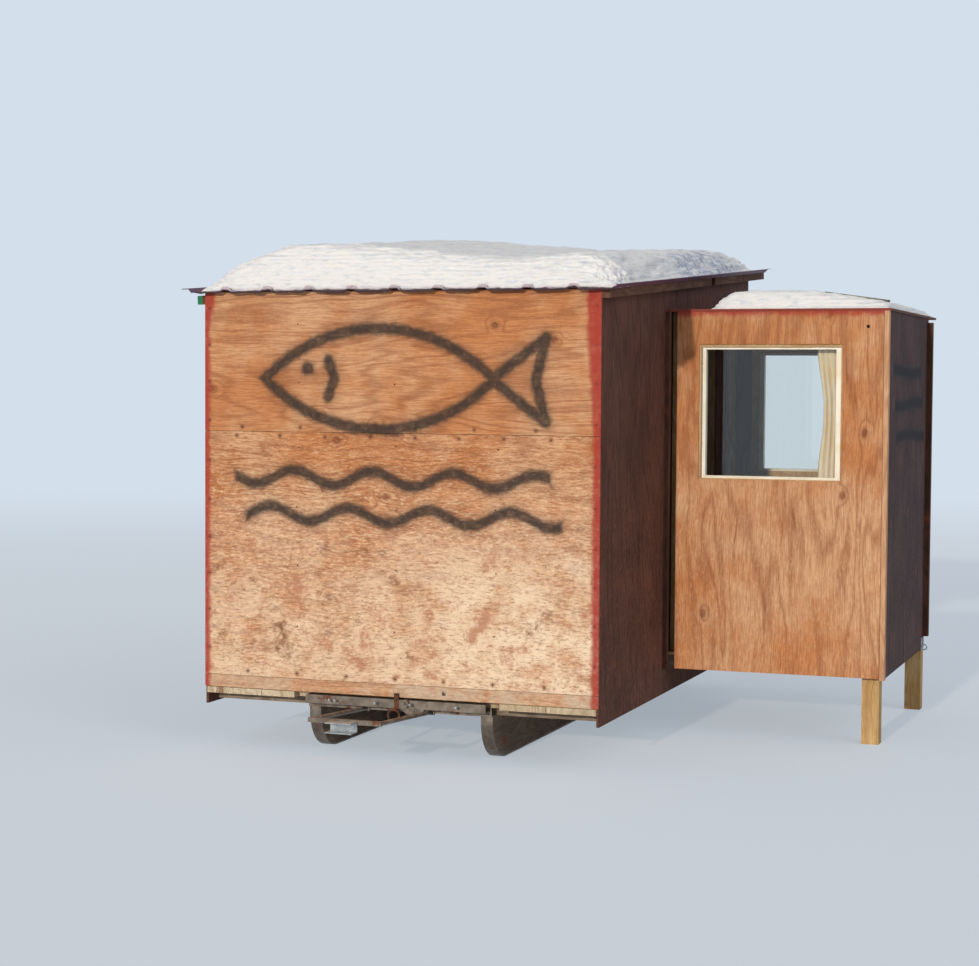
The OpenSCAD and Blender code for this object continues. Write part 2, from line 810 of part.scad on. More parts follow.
// A closed solid over the columns at xs and the rows at ys. top[j][i] is its height at row j and
// column i. Its underside runs straight from the heights low[0] in the first row to low[1] in the last
module snow_cap(xs, ys, top, low) {
    n = len(xs) - 1;
    m = len(ys) - 1;
    row = n + 1;
    front = row * (m + 1);
    back = front + row;
    points = concat(
        [for (j = [0 : m], i = [0 : n]) [xs[i], ys[j], top[j][i]]],
        [for (i = [0 : n]) [xs[i], ys[0], low[0][i]]],
        [for (i = [0 : n]) [xs[i], ys[m], low[1][i]]]);
    upper = [for (j = [0 : m - 1], i = [0 : n - 1])
        let (k = j * row + i) each [[k, k + row, k + 1], [k + 1, k + row, k + row + 1]]];
    strips = [for (i = [0 : n - 1])
        let (k = m * row + i)
        each [[i, i + 1, front + i + 1, front + i],
            [front + i, front + i + 1, back + i + 1, back + i],
            [k + 1, k, back + i, back + i + 1]]];
    left = [for (j = [0 : m - 1]) [front, (j + 1) * row, j * row]];
    right = [for (j = [0 : m - 1]) [front + n, j * row + n, (j + 1) * row + n]];
    ends = [[front, back, m * row], [front + n, m * row + n, back + n]];
    polyhedron(points = points, faces = concat(upper, strips, left, right, ends));
}

// The snow fills the pans and lies over the ribs, so its columns stand at the ribs' corners
module main_roof_snow() {
    corners = [for (i = [-1 : rib_last + 1])
        each [for (d = [-rib_foot_w, -rib_crest_w, rib_crest_w, rib_foot_w, rib_pitch])
            rib_x(i) + d / 2]];
    inner = [for (x = corners) if (x > main_snow_x0 + 1 && x < main_snow_x1 - 1) x];
    xs = concat([main_snow_x0], inner, [main_snow_x1]);
    ys = bunched(main_snow_y0, main_snow_y1, 24);
    function sheet_z(x, y) = roof_z(y) + (rib_line(x) + roof_steel_t) / slope_cos;
    function pan_z(y) = roof_z(y) + roof_steel_t / slope_cos;
    color(snow_white)
        snow_cap(xs, ys,
            [for (y = ys) [for (x = xs) max(sheet_z(x, y) + snow_rim, pan_z(y) + main_snow(x, y))]],
            [for (y = [main_snow_y0, main_snow_y1]) [for (x = xs) sheet_z(x, y)]]);
}

// Sledge
module runner_outline(grow) {
    z0 = runner_bottom - grow;
    intersection() {
        translate([runner_y0 - grow, z0])
            square([runner_y1 - runner_y0 + grow, cross_bottom - z0]);
        union() {
            translate([runner_y0 + nose_r, runner_bottom + nose_r])
                circle(r = nose_r + grow, $fn = 96);
            translate([runner_y0 + nose_r, z0])
                square([runner_y1 - runner_y0, cross_bottom - z0]);
            translate([runner_y0 - grow, runner_bottom + nose_r])
                square([nose_r + 2 * grow, nose_r + 2 * grow]);
        }
    }
}

module runner_slab(x0) {
    translate([x0, 0, 0])
        rotate([90, 0, 90])
            linear_extrude(height = runner_w)
                children();
}

module runners() {
    color(grey_timber)
        for (x = runner_xs)
            runner_slab(x) runner_outline(0);
}

module runner_shoes() {
    color(steel_grey)
        for (x = runner_xs)
            runner_slab(x)
                difference() {
                    runner_outline(shoe_t);
                    runner_outline(0);
                }
}

// A steel channel across the sledge, its web to the front and its flanges depth long
module cross_channel(x0, x1, y, z, depth, height) {
    translate([0, y, z])
        side_slab(x0, x1, [[0, 0], [depth, 0], [depth, cross_t], [cross_t, cross_t],
            [cross_t, height - cross_t], [depth, height - cross_t], [depth, height], [0, height]]);
}

// Leaves under the head beam, each one set in a step from the leaf over it
module spring_leaves() {
    for (i = [0 : leaf_count - 1])
        block([leaf_x1 - leaf_l + 2 * leaf_step * i, -head_past + leaf_step * (i + 1),
                head_z0 - leaf_t * (i + 1)],
            [leaf_x1 - 2 * leaf_step * i, leaf_y1, head_z0 - leaf_t * i]);
}

// A short round eye on the head beam's face, closed by a bolt head
module spring_eye() {
    translate([eye_x, -head_past, eye_z])
        rotate([90, 0, 0]) {
            cylinder(d = eye_d, h = eye_l, $fn = 48);
            cylinder(d = eye_bolt_d, h = eye_l + eye_bolt_h, $fn = 48);
        }
}

module sledge_cross_members() {
    color(steel_grey) {
        for (y = cross_y)
            cross_channel(sledge_x - sledge_w / 2, sledge_x + sledge_w / 2, y, cross_bottom,
                cross_flange, cross_h);
        cross_channel(head_x0, head_x1, -head_past, head_z0, head_past + cross_inset, head_h);
        spring_leaves();
        spring_eye();
    }
}

module drawbar() {
    half = drawbar_tube_d / 2;
    color(steel_grey) {
        for (x = leg_x) {
            translate([x, cross_inset - lug_t / 2, drawbar_z])
                rotate([90 - drawbar_tilt, 0, 0])
                    cylinder(d = drawbar_tube_d, h = drawbar_run / cos(drawbar_tilt), $fn = 48);
            block([x - lug_w / 2, cross_inset - lug_t, drawbar_z - half - lug_edge],
                [x + lug_w / 2, cross_inset, drawbar_z + half + lug_edge]);
        }
        block([leg_x[0] - half, -drawbar_l - half, drawbar_front_z - half],
            [leg_x[1] + half, -drawbar_l + half, drawbar_front_z + half]);
    }
}

// A channel open to the front, with a cross bore in its two flanges for the pin
module coupler() {
    y1 = -drawbar_l - drawbar_tube_d / 2;
    y0 = y1 - coupler_l;
    z0 = coupler_z - coupler_h / 2;
    color("#a7adb0")
        difference() {
            block([sledge_x - coupler_w / 2, y0, z0],
                [sledge_x + coupler_w / 2, y1, z0 + coupler_h]);
            block([sledge_x - coupler_w / 2 - 1, y0 - 1, z0 + coupler_t],
                [sledge_x + coupler_w / 2 + 1, y1 - coupler_t, z0 + coupler_h - coupler_t]);
            translate([sledge_x, y0 + coupler_pin_inset, z0 - 1])
                cylinder(d = coupler_pin_d, h = coupler_h + 2, $fn = 48);
        }
}

// The tow ring hangs in front of the head beam from a flat hook, whose bent top lies on the wall
module tow_ring() {
    rod = tow_ring_rod_d;
    x0 = ring_hook_x;
    x1 = ring_hook_x + ring_hook_w;
    y0 = -head_past - ring_hook_t;
    color("#4a3a30") {
        translate([sledge_x, ring_y, ring_z])
            rotate([90, 0, 0])
                rotate_extrude($fn = 64)
                    translate([tow_ring_d / 2 - rod / 2, 0]) circle(d = rod, $fn = 24);
        block([x0, y0, ring_z + tow_ring_d / 2 - rod], [x1, -head_past, ring_hook_top]);
        block([x0, y0, ring_hook_top - ring_hook_t], [x1, 0, ring_hook_top]);
    }
}

// Annex
module window_panel(x0, x1, y0, y1, window_x, window_z) {
    difference() {
        block([x0, y0, annex_lift], [x1, y1, annex_top]);
        block([window_x - window_clear, y0 - 1, window_z - window_clear_foot],
            [window_x + window_w + window_clear, y1 + 1,
                window_z + window_h + window_clear_head]);
    }
}

module annex_front_panel() {
    color(ply_orange)
        window_panel(annex_gap, board_x - sheet_gap, annex_setback, annex_in_front,
            front_window_x, front_window_z);
}

module annex_back_panel() {
    color(ply_shade)
        window_panel(0, annex_w, annex_in_back, annex_y1, back_window_x, back_window_z);
}

module annex_side_panel() {
    color(ply_shade)
        block([annex_in_right, annex_setback + corner_board_d, annex_lift],
            [annex_w, annex_in_back, annex_top]);
}

module annex_corner_board() {
    color(ply_pale)
        block([board_x, annex_setback, annex_lift - corner_board_drop],
            [annex_w, annex_setback + corner_board_d, annex_top]);
}

module annex_back_batten() {
    color("#4b2f28")
        block([annex_w, annex_y1 - back_batten_w, annex_lift + back_batten_foot],
            [annex_w + back_batten_t, annex_y1, annex_top - back_batten_top]);
}

module junction_batten() {
    color(ply_shade)
        block([0, annex_setback - junction_d, annex_lift],
            [junction_w, annex_setback, annex_top - frame_gap]);
}

module annex_floor() {
    color(grey_timber)
        block([0, annex_in_front, annex_floor_z], [board_x, annex_in_back, annex_floor_top]);
}

module annex_posts() {
    color(timber)
        for (corner = [[front_post_x, front_post_y], [back_post_x, back_post_y]])
            translate([corner[0], corner[1], -ground_clear])
                cube([post_w, post_w, ground_clear + annex_lift]);
}

module annex_roof_deck() {
    color("#6b4a3a")
        block([0, annex_setback - annex_over_front, annex_top],
            [annex_w + annex_over_side, annex_y1 + annex_over_back, annex_deck_top]);
}

// The lath lies across the snow, half sunk in it, and leans down to the side
module lath_place() {
    translate([annex_w - lath_inset_x, annex_setback + lath_inset_y, annex_deck_top + lath_rise])
        rotate([0, lath_lean, lath_turn])
            children();
}

module annex_roof_snow() {
    xs = bunched(annex_snow_gap, annex_snow_x1, 20);
    ys = bunched(annex_snow_y0, annex_snow_y1, 16);
    flat = [for (x = xs) annex_deck_top];
    color(snow_white)
        difference() {
            snow_cap(xs, ys,
                [for (y = ys) [for (x = xs) annex_deck_top + max(snow_rim, annex_snow(x, y))]],
                [flat, flat]);
            lath_place() block([0, 0, 0], [lath_l, lath_w, lath_t + annex_snow_h]);
        }
}

module roof_lath() {
    color("#7f7d64") lath_place() block([0, 0, 0], [lath_l, lath_w, lath_t]);
}

// A plate with an eye low on the annex's side wall, for a tie-down
module tie_hook() {
    y0 = annex_y1 - back_batten_w - hook_from_batten - hook_w;
    color("#b9bcbe")
        translate([annex_w, y0, annex_lift - hook_drop]) {
            cube([hook_t, hook_w, hook_h]);
            translate([hook_reach - hook_eye_d / 2, hook_w / 2, hook_eye_d / 2])
                rotate([90, 0, 0])
                    rotate_extrude($fn = 48)
                        translate([(hook_eye_d - hook_rod_d) / 2, 0])
                            circle(d = hook_rod_d, $fn = 24);
        }
}

// Windows
// The frame's clear opening, from y0 to y1 and wider by grow on all sides
module window_light(x0, z0, y0, y1, grow) {
    block([x0 + window_bar_w - grow, y0, z0 + window_head_h - grow],
        [x0 + window_w - window_bar_w + grow, y1, z0 + window_h - window_head_h + grow]);
}

module window_frame(x0, z0, y0, groove_y) {
    difference() {
        block([x0, y0, z0], [x0 + window_w, y0 + window_frame_d, z0 + window_h]);
        window_light(x0, z0, y0 - 1, y0 + window_frame_d + 1, 0);
        difference() {
            window_light(x0, z0, groove_y, groove_y + window_groove, window_lip + window_groove);
            window_light(x0, z0, groove_y - 1, groove_y + window_groove + 1, window_lip);
        }
    }
}

module front_window_frame() {
    color("#e8e2cf")
        window_frame(front_window_x, front_window_z, front_frame_y, front_frame_y);
}

module back_window_frame() {
    color("#e8e2cf")
        window_frame(back_window_x, back_window_z, back_frame_y,
            back_frame_y + window_frame_d - window_groove);
}

module window_glass() {
    front_y = front_frame_y + (window_frame_d - glass_t) / 2;
    back_y = back_frame_y + (window_frame_d - glass_t) / 2;
    color("#a8c0c8", 0.35) {
        window_light(front_window_x, front_window_z, front_y, front_y + glass_t, 0);
        window_light(back_window_x, back_window_z, back_y, back_y + glass_t, 0);
    }
}

module curtain_rail() {
    color(timber)
        block([front_window_x - stud_t, rail_y, curtain_top - curtain_rail_h],
            [front_window_x + window_w + stud_t, rail_y + curtain_rail_t, curtain_top]);
}

// A gathered curtain: a wavy outline drawn straight down from the rail
module curtain() {
    steps = curtain_folds * fold_steps;
    y0 = rail_y + curtain_rail_t;
    function fold_y(i) = curtain_fold_d
        * (1 - curtain_swing + curtain_swing * cos(360 * i / fold_steps));
    back = [for (i = [0 : steps]) [curtain_w * i / steps, fold_y(i)]];
    color("#e3cf9a")
        translate([curtain_x, y0, curtain_top - curtain_h])
            linear_extrude(height = curtain_h)
                polygon(concat([[0, 0]], back, [[curtain_w, 0]]));
}

// Back door
module back_door() {
    x0 = door_x0 + door_gap;
    x1 = door_x1 - door_gap;
    z0 = plank_top + door_gap;
    z1 = door_h - door_gap;
    y_board = main_d - door_board_t;
    color(ply_shade) {
        block([x0, y_board, z0], [x1, main_d, z1]);
        for (z = [z0 + door_ledge_w, (z0 + z1 - door_ledge_w) / 2, z1 - 2 * door_ledge_w])
            block([x0 + door_gap, main_d - door_t, z],
                [x1 - door_gap, y_board, z + door_ledge_w]);
    }
}

module door_hardware() {
    z_low = plank_top + door_gap + 1.5 * door_ledge_w;
    z_high = door_h - door_gap - 1.5 * door_ledge_w;
    color("#3a3634") {
        for (z = [z_low, z_high])
            block([door_x1 - hinge_l * hinge_on_door, main_d, z - hinge_w / 2],
                [door_x1 + hinge_l * (1 - hinge_on_door), main_d + hinge_t, z + hinge_w / 2]);
        translate([door_x0 + handle_inset, main_d, handle_z]) {
            block([-handle_w / 2, 0, 0], [handle_w / 2, handle_t, handle_h]);
            for (z = [handle_w / 2, handle_h - handle_w / 2 - handle_bar_t])
                block([-handle_bar_w / 2, handle_t, z],
                    [handle_bar_w / 2, handle_reach, z + handle_bar_t]);
            block([-handle_bar_w / 2, handle_reach - handle_bar_t, handle_w / 2],
                [handle_bar_w / 2, handle_reach, handle_h - handle_w / 2]);
        }
    }
}

module place() {
    translate([-(outline_x0 + outline_x1) / 2, -(outline_y0 + outline_y1) / 2, ground_clear])
        children();
}

place() front_lower_sheet();
place() front_upper_sheet();
place() front_bottom_strip();
place() left_wall();
place() right_wall_front();
place() right_wall_back();
place() right_wall_over_doorway();
place() doorway_threshold();
place() back_wall_left();
place() back_wall_right();
place() back_wall_over_door();
place() back_door();
place() door_hardware();
place() wall_studs();
place() wall_plates();
place() floor_planks();
place() floor_joists();
place() left_verge_batten();
place() right_verge_batten();
place() roof_sheet();
place() roof_purlins();
place() main_roof_snow();
place() runners();
place() runner_shoes();
place() sledge_cross_members();
place() drawbar();
place() coupler();
place() tow_ring();
place() annex_front_panel();
place() annex_back_panel();
place() annex_side_panel();
place() annex_corner_board();
place() annex_back_batten();
place() junction_batten();
place() annex_floor();
place() annex_posts();
place() annex_roof_deck();
place() annex_roof_snow();
place() roof_lath();
place() tie_hook();
place() front_window_frame();
place() back_window_frame();
place() window_glass();
place() curtain();
place() curtain_rail();
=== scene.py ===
"""Looks of the ice fishing hut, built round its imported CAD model.

Lengths are in metres. Hut places have x = 0 at the outer face of the main hut's right wall, y = 0 at its
front face and z = 0 at the front wall's lower edge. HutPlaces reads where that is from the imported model.
"""

from __future__ import annotations

import json
import logging
import math
import sys
from dataclasses import dataclass
from enum import Enum

import bmesh
import bpy
import numpy as np
from mathutils import Matrix, Vector

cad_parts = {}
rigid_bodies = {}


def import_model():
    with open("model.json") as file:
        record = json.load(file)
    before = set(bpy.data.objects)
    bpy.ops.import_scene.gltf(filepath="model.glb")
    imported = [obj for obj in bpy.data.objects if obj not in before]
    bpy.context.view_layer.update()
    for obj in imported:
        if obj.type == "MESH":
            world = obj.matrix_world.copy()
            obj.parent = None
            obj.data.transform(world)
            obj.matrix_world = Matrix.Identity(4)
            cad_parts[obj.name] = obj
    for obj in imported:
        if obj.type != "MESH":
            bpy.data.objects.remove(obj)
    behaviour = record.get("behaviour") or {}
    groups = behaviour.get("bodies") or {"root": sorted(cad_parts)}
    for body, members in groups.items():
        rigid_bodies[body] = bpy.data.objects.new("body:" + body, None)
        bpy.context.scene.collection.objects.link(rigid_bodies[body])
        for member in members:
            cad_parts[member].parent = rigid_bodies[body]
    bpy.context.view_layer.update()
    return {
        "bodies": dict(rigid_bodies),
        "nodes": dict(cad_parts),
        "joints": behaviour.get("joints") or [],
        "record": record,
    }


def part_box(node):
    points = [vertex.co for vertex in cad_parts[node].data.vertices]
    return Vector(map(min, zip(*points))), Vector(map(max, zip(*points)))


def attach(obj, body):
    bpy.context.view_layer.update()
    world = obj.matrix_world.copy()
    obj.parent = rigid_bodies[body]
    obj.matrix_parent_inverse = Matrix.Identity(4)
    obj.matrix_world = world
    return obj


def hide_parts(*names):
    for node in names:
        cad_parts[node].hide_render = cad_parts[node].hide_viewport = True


LOG = logging.getLogger("ice_fishing_hut")
BODY = "root"
MM = 0.001

Tree = bpy.types.NodeTree
Socket = bpy.types.NodeSocket
Sockets = bpy.types.bpy_prop_collection
Layers = tuple[tuple[float, float, int], ...]

# Settings that many nodes share
EASED = {"interpolation_type": "SMOOTHSTEP"}
COLOURS = {"data_type": "RGBA"}
PLUS = {"operation": "ADD"}
MINUS = {"operation": "SUBTRACT"}
TIMES = {"operation": "MULTIPLY"}
OVER = {"operation": "DIVIDE"}
LEAST = {"operation": "MINIMUM"}
MOST = {"operation": "MAXIMUM"}
SIZE = {"operation": "ABSOLUTE"}
SINE = {"operation": "SINE"}
ROUNDED = {"operation": "ROUND"}
FOLDED = {"operation": "PINGPONG"}
APART = {"operation": "DISTANCE"}

# Sockets of a Mix node that mixes colours: its share, its two colours and the mixed colour
SHARE, FIRST, SECOND = 0, 6, 7
MIXED = 2


def linear(code: str) -> tuple[float, float, float, float]:
    """Turn an sRGB hex colour into the linear colour that shader sockets take.

    Args:
        code: the colour, such as "#c98a5c".

    Returns:
        Linear red, green and blue, and 1 for opaque.
    """
    parts = [int(code[i : i + 2], 16) / 255 for i in (1, 3, 5)]
    red, green, blue = (p / 12.92 if p <= 0.04045 else ((p + 0.055) / 1.055) ** 2.4 for p in parts)
    return red, green, blue, 1.0


def scale_of(cell_mm: float) -> float:
    """Texture scale that gives a pattern cells of this many millimetres."""
    return 1 / (cell_mm * MM)


def add(
    tree: Tree, kind: str, settings: dict | None = None, inputs: dict | tuple = (), out: int | str = 0
) -> Socket:
    """Add a shader node, set its properties and fill its inputs.

    Args:
        tree: the node tree of a material or of the world.
        kind: the node's type without its "ShaderNode" beginning.
        settings: property names and values.
        inputs: values and sockets to link, in the order of the node's inputs or by name or number.
        out: the name or number of the output to return.

    Returns:
        That output socket, or the first input of a node that has no output.
    """
    node = tree.nodes.new("ShaderNode" + kind)
    for name, value in (settings or {}).items():
        setattr(node, name, value)
    for key, value in inputs.items() if isinstance(inputs, dict) else enumerate(inputs):
        if isinstance(value, Socket):
            tree.links.new(value, node.inputs[key])
        else:
            node.inputs[key].default_value = value
    return node.outputs[out] if len(node.outputs) else node.inputs[0]


def rough_field(rows: np.ndarray, columns: np.ndarray, cell: float, seed: int) -> np.ndarray:
    """Smooth random heights from -1 to 1 on a grid.

    Random values on a square lattice, with smoothstep blending between the four lattice points round each
    place.

    Args:
        rows: places of the grid's rows, in order.
        columns: places of its columns, in order.
        cell: distance between lattice points, in the same unit.
        seed: the random seed.

    Returns:
        An array of as many rows and columns.
    """
    row, column = (rows - rows[0]) / cell, (columns - columns[0]) / cell
    lattice = np.random.default_rng(seed).uniform(-1, 1, (int(row[-1]) + 2, int(column[-1]) + 2))
    i, j = np.floor(row).astype(int), np.floor(column).astype(int)
    s, t = smooth(row - i)[:, None], smooth(column - j)[None, :]
    low = lattice[np.ix_(i, j)] * (1 - t) + lattice[np.ix_(i, j + 1)] * t
    high = lattice[np.ix_(i + 1, j)] * (1 - t) + lattice[np.ix_(i + 1, j + 1)] * t
    return low * (1 - s) + high * s


def rough_layers(rows: np.ndarray, columns: np.ndarray, layers: Layers) -> list[np.ndarray]:
    """Random heights in several sizes.

    Args:
        rows: places of the grid's rows, in order.
        columns: places of its columns, in order.
        layers: each layer's greatest height, cell and random seed.

    Returns:
        One array of heights a layer.
    """
    return [height * rough_field(rows, columns, cell, seed) for height, cell, seed in layers]


def smooth(t: np.ndarray | float) -> np.ndarray:
    """Ease t from 0 to 1 with no slope at either end, held outside that range."""
    c = np.clip(t, 0.0, 1.0)
    return c * c * (3 - 2 * c)


def grid_quads(rows: int, columns: int, wrap: bool = False, first: int = 0) -> np.ndarray:
    """List the quads of a grid of vertices that is numbered row by row.

    Args:
        rows: rows of vertices.
        columns: vertices in a row.
        wrap: join each row's last vertex to its first.
        first: the number of the grid's first vertex.

    Returns:
        An array of four vertex numbers a quad, turned so that rows up and columns right face the viewer.
    """
    i = np.arange(rows - 1)[:, None]
    j = np.arange(columns if wrap else columns - 1)[None, :]
    right = (j + 1) % columns
    quads = np.stack(np.broadcast_arrays(
        i * columns + j, i * columns + right, (i + 1) * columns + right, (i + 1) * columns + j
    ), axis=-1)
    return quads.reshape(-1, 4) + first


def new_piece(
    name: str,
    points: np.ndarray,
    faces: np.ndarray | list,
    finish: "Finish",
    replaces: tuple[str, ...] = (),
    round_off: bool = True,
    uv: np.ndarray | None = None,
) -> bpy.types.Object:
    """Make a mesh object at the origin, dress it and let it ride on the hut.

    Args:
        name: the piece's name.
        points: vertex places, one row each.
        faces: vertex numbers of each face.
        finish: its material.
        replaces: the CAD nodes that it stands for.
        round_off: shade it smooth, with sharp edges kept past 35 degrees.
        uv: a pair of texture coordinates for each vertex.

    Returns:
        The new object.
    """
    mesh = bpy.data.meshes.new(name)
    mesh.from_pydata(points.tolist(), [], faces.tolist() if isinstance(faces, np.ndarray) else faces)
    if uv is not None:
        corner = np.zeros(len(mesh.loops), np.int32)
        mesh.loops.foreach_get("vertex_index", corner)
        layer = mesh.uv_layers.new(name="weave")
        layer.data.foreach_set("uv", uv[corner].astype(np.float32).ravel())
    mesh.validate()
    if round_off:
        mesh.polygons.foreach_set("use_smooth", np.ones(len(mesh.polygons), bool))
        mesh.set_sharp_from_angle(angle=math.radians(35))
    piece = bpy.data.objects.new(name, mesh)
    bpy.context.scene.collection.objects.link(piece)
    mesh.materials.append(finish.material())
    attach(piece, BODY)
    if replaces:
        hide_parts(*replaces)
    LOG.info("%s: %d faces", name, len(mesh.polygons))
    return piece


def merge_doubles(piece: bpy.types.Object, distance: float = 1e-5) -> None:
    """Merge vertices that share a place and turn all faces outwards.

    Args:
        piece: the mesh object.
        distance: how near two vertices lie to become one, in metres.
    """
    shape = bmesh.new()
    shape.from_mesh(piece.data)
    bmesh.ops.remove_doubles(shape, verts=shape.verts, dist=distance)
    bmesh.ops.recalc_face_normals(shape, faces=shape.faces)
    shape.to_mesh(piece.data)
    shape.free()


@dataclass(frozen=True)
class HutPlaces:
    """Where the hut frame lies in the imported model, and the few places that the pieces start from."""

    origin: Vector
    eave_z: float
    slope: float
    roof_lo: Vector
    roof_hi: Vector

    @classmethod
    def from_frame(cls) -> "HutPlaces":
        """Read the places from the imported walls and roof.

        Returns:
            The places.
        """
        _, sheet_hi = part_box("front_upper_sheet")
        strip_lo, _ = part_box("front_bottom_strip")
        side_lo, side_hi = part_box("left_wall")
        origin = Vector((sheet_hi.x, strip_lo.y, strip_lo.z))
        slope = (side_hi.z - sheet_hi.z) / (side_hi.y - strip_lo.y)
        lo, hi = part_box("roof_sheet")
        return cls(origin, sheet_hi.z - origin.z, slope, lo - origin, hi - origin)

    def roof_z(self, y: np.ndarray | float) -> np.ndarray | float:
        """Height of the roof sheet's underside at y."""
        return self.eave_z + self.slope * y

    def part(self, points: np.ndarray) -> np.ndarray:
        """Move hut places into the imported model's frame."""
        return points + np.array(self.origin)

    def box(self, node: str) -> tuple[Vector, Vector]:
        """Lowest and highest corner of a CAD node, as hut places."""
        lo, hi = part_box(node)
        return lo - self.origin, hi - self.origin


class Lay(Enum):
    """Which hut axes run along the grain, across it and through a board, in that order."""

    FRONT_LYING = "xzy"
    FRONT_STANDING = "zxy"
    SIDE_STANDING = "zyx"
    SIDE_LYING = "yzx"
    FLAT_LONG = "yxz"
    FLAT_WIDE = "xyz"


@dataclass(frozen=True)
class Finish:
    """A material, built once and shared by every piece that has it."""

    name: str
    slot: str

    def material(self) -> bpy.types.Material:
        """Build the material, or return the one that is already there.

        Returns:
            The material.
        """
        made = bpy.data.materials.get(self.name)
        if made is not None:
            return made
        made = bpy.data.materials.new(self.name)
        made.use_nodes = True
        tree = made.node_tree
        tree.nodes.clear()
        add(tree, "OutputMaterial", None, {"Surface": self.shade(tree)})
        return made

    def shade(self, tree: Tree) -> Socket:
        """Draw the surface; each finish has its own."""
        raise NotImplementedError

    def dress(self, frame: dict, *nodes: str) -> None:
        """Give this finish to CAD nodes.

        Args:
            nodes: names of CAD nodes.
        """
        for name in nodes:
            node = frame["nodes"][name]
            if not node.material_slots:
                node.data.materials.append(None)
            for slot in node.material_slots:
                slot.material = self.material()

    def hut_place(self, tree: Tree) -> Socket:
        """Object coordinates as hut places.

        Args:
            tree: the node tree.

        Returns:
            The place as a vector.
        """
        place = add(tree, "TexCoord", out="Object")
        origin = HutPlaces.from_frame().origin
        return add(tree, "Mapping", None, {"Vector": place, "Location": tuple(-origin)})


@dataclass(frozen=True)
class NailLine:
    """A straight row of nails on a wall, at an even pitch that a hand has shaken by a few millimetres.

    Nail number k sits at k pitches along the row, moved by 9 mm times the sine of 7.3 k. The material
    works out the same places for the stain round each nail.
    """

    along: int
    first: float
    last: float
    across: int
    level: float
    pitch: float = 0.19
    shake: float = 0.009
    turn: float = 7.3

    def spots(self, depth_axis: int, depth: float) -> np.ndarray:
        """Places of the nails, with depth as their place on the wall's third axis.

        Args:
            depth_axis: number of the axis through the wall.
            depth: the nails' place along that axis.

        Returns:
            One row for each nail.
        """
        k = np.arange(math.ceil(self.first / self.pitch), math.floor(self.last / self.pitch) + 1)
        spots = np.zeros((len(k), 3))
        spots[:, self.along] = k * self.pitch + self.shake * np.sin(self.turn * k)
        spots[:, self.across] = self.level
        spots[:, depth_axis] = depth
        return spots

    def distance(self, tree: Tree, axes: Sockets) -> Socket:
        """Distance from the nearest nail of the row on the wall.

        Args:
            tree: the node tree.
            axes: x, y and z of the hut place.

        Returns:
            The distance in metres.
        """
        turns = add(tree, "Math", OVER, (axes[self.along], self.pitch))
        k = add(tree, "Math", ROUNDED, (turns,))
        swing = add(tree, "Math", SINE, (add(tree, "Math", TIMES, (k, self.turn)),))
        nail = add(tree, "Math", PLUS, (
            add(tree, "Math", TIMES, (k, self.pitch)), add(tree, "Math", TIMES, (swing, self.shake))))
        here = add(tree, "CombineXYZ", None, (axes[self.along], axes[self.across]))
        there = add(tree, "CombineXYZ", None, (nail, self.level))
        return add(tree, "VectorMath", APART, (here, there), out="Value")


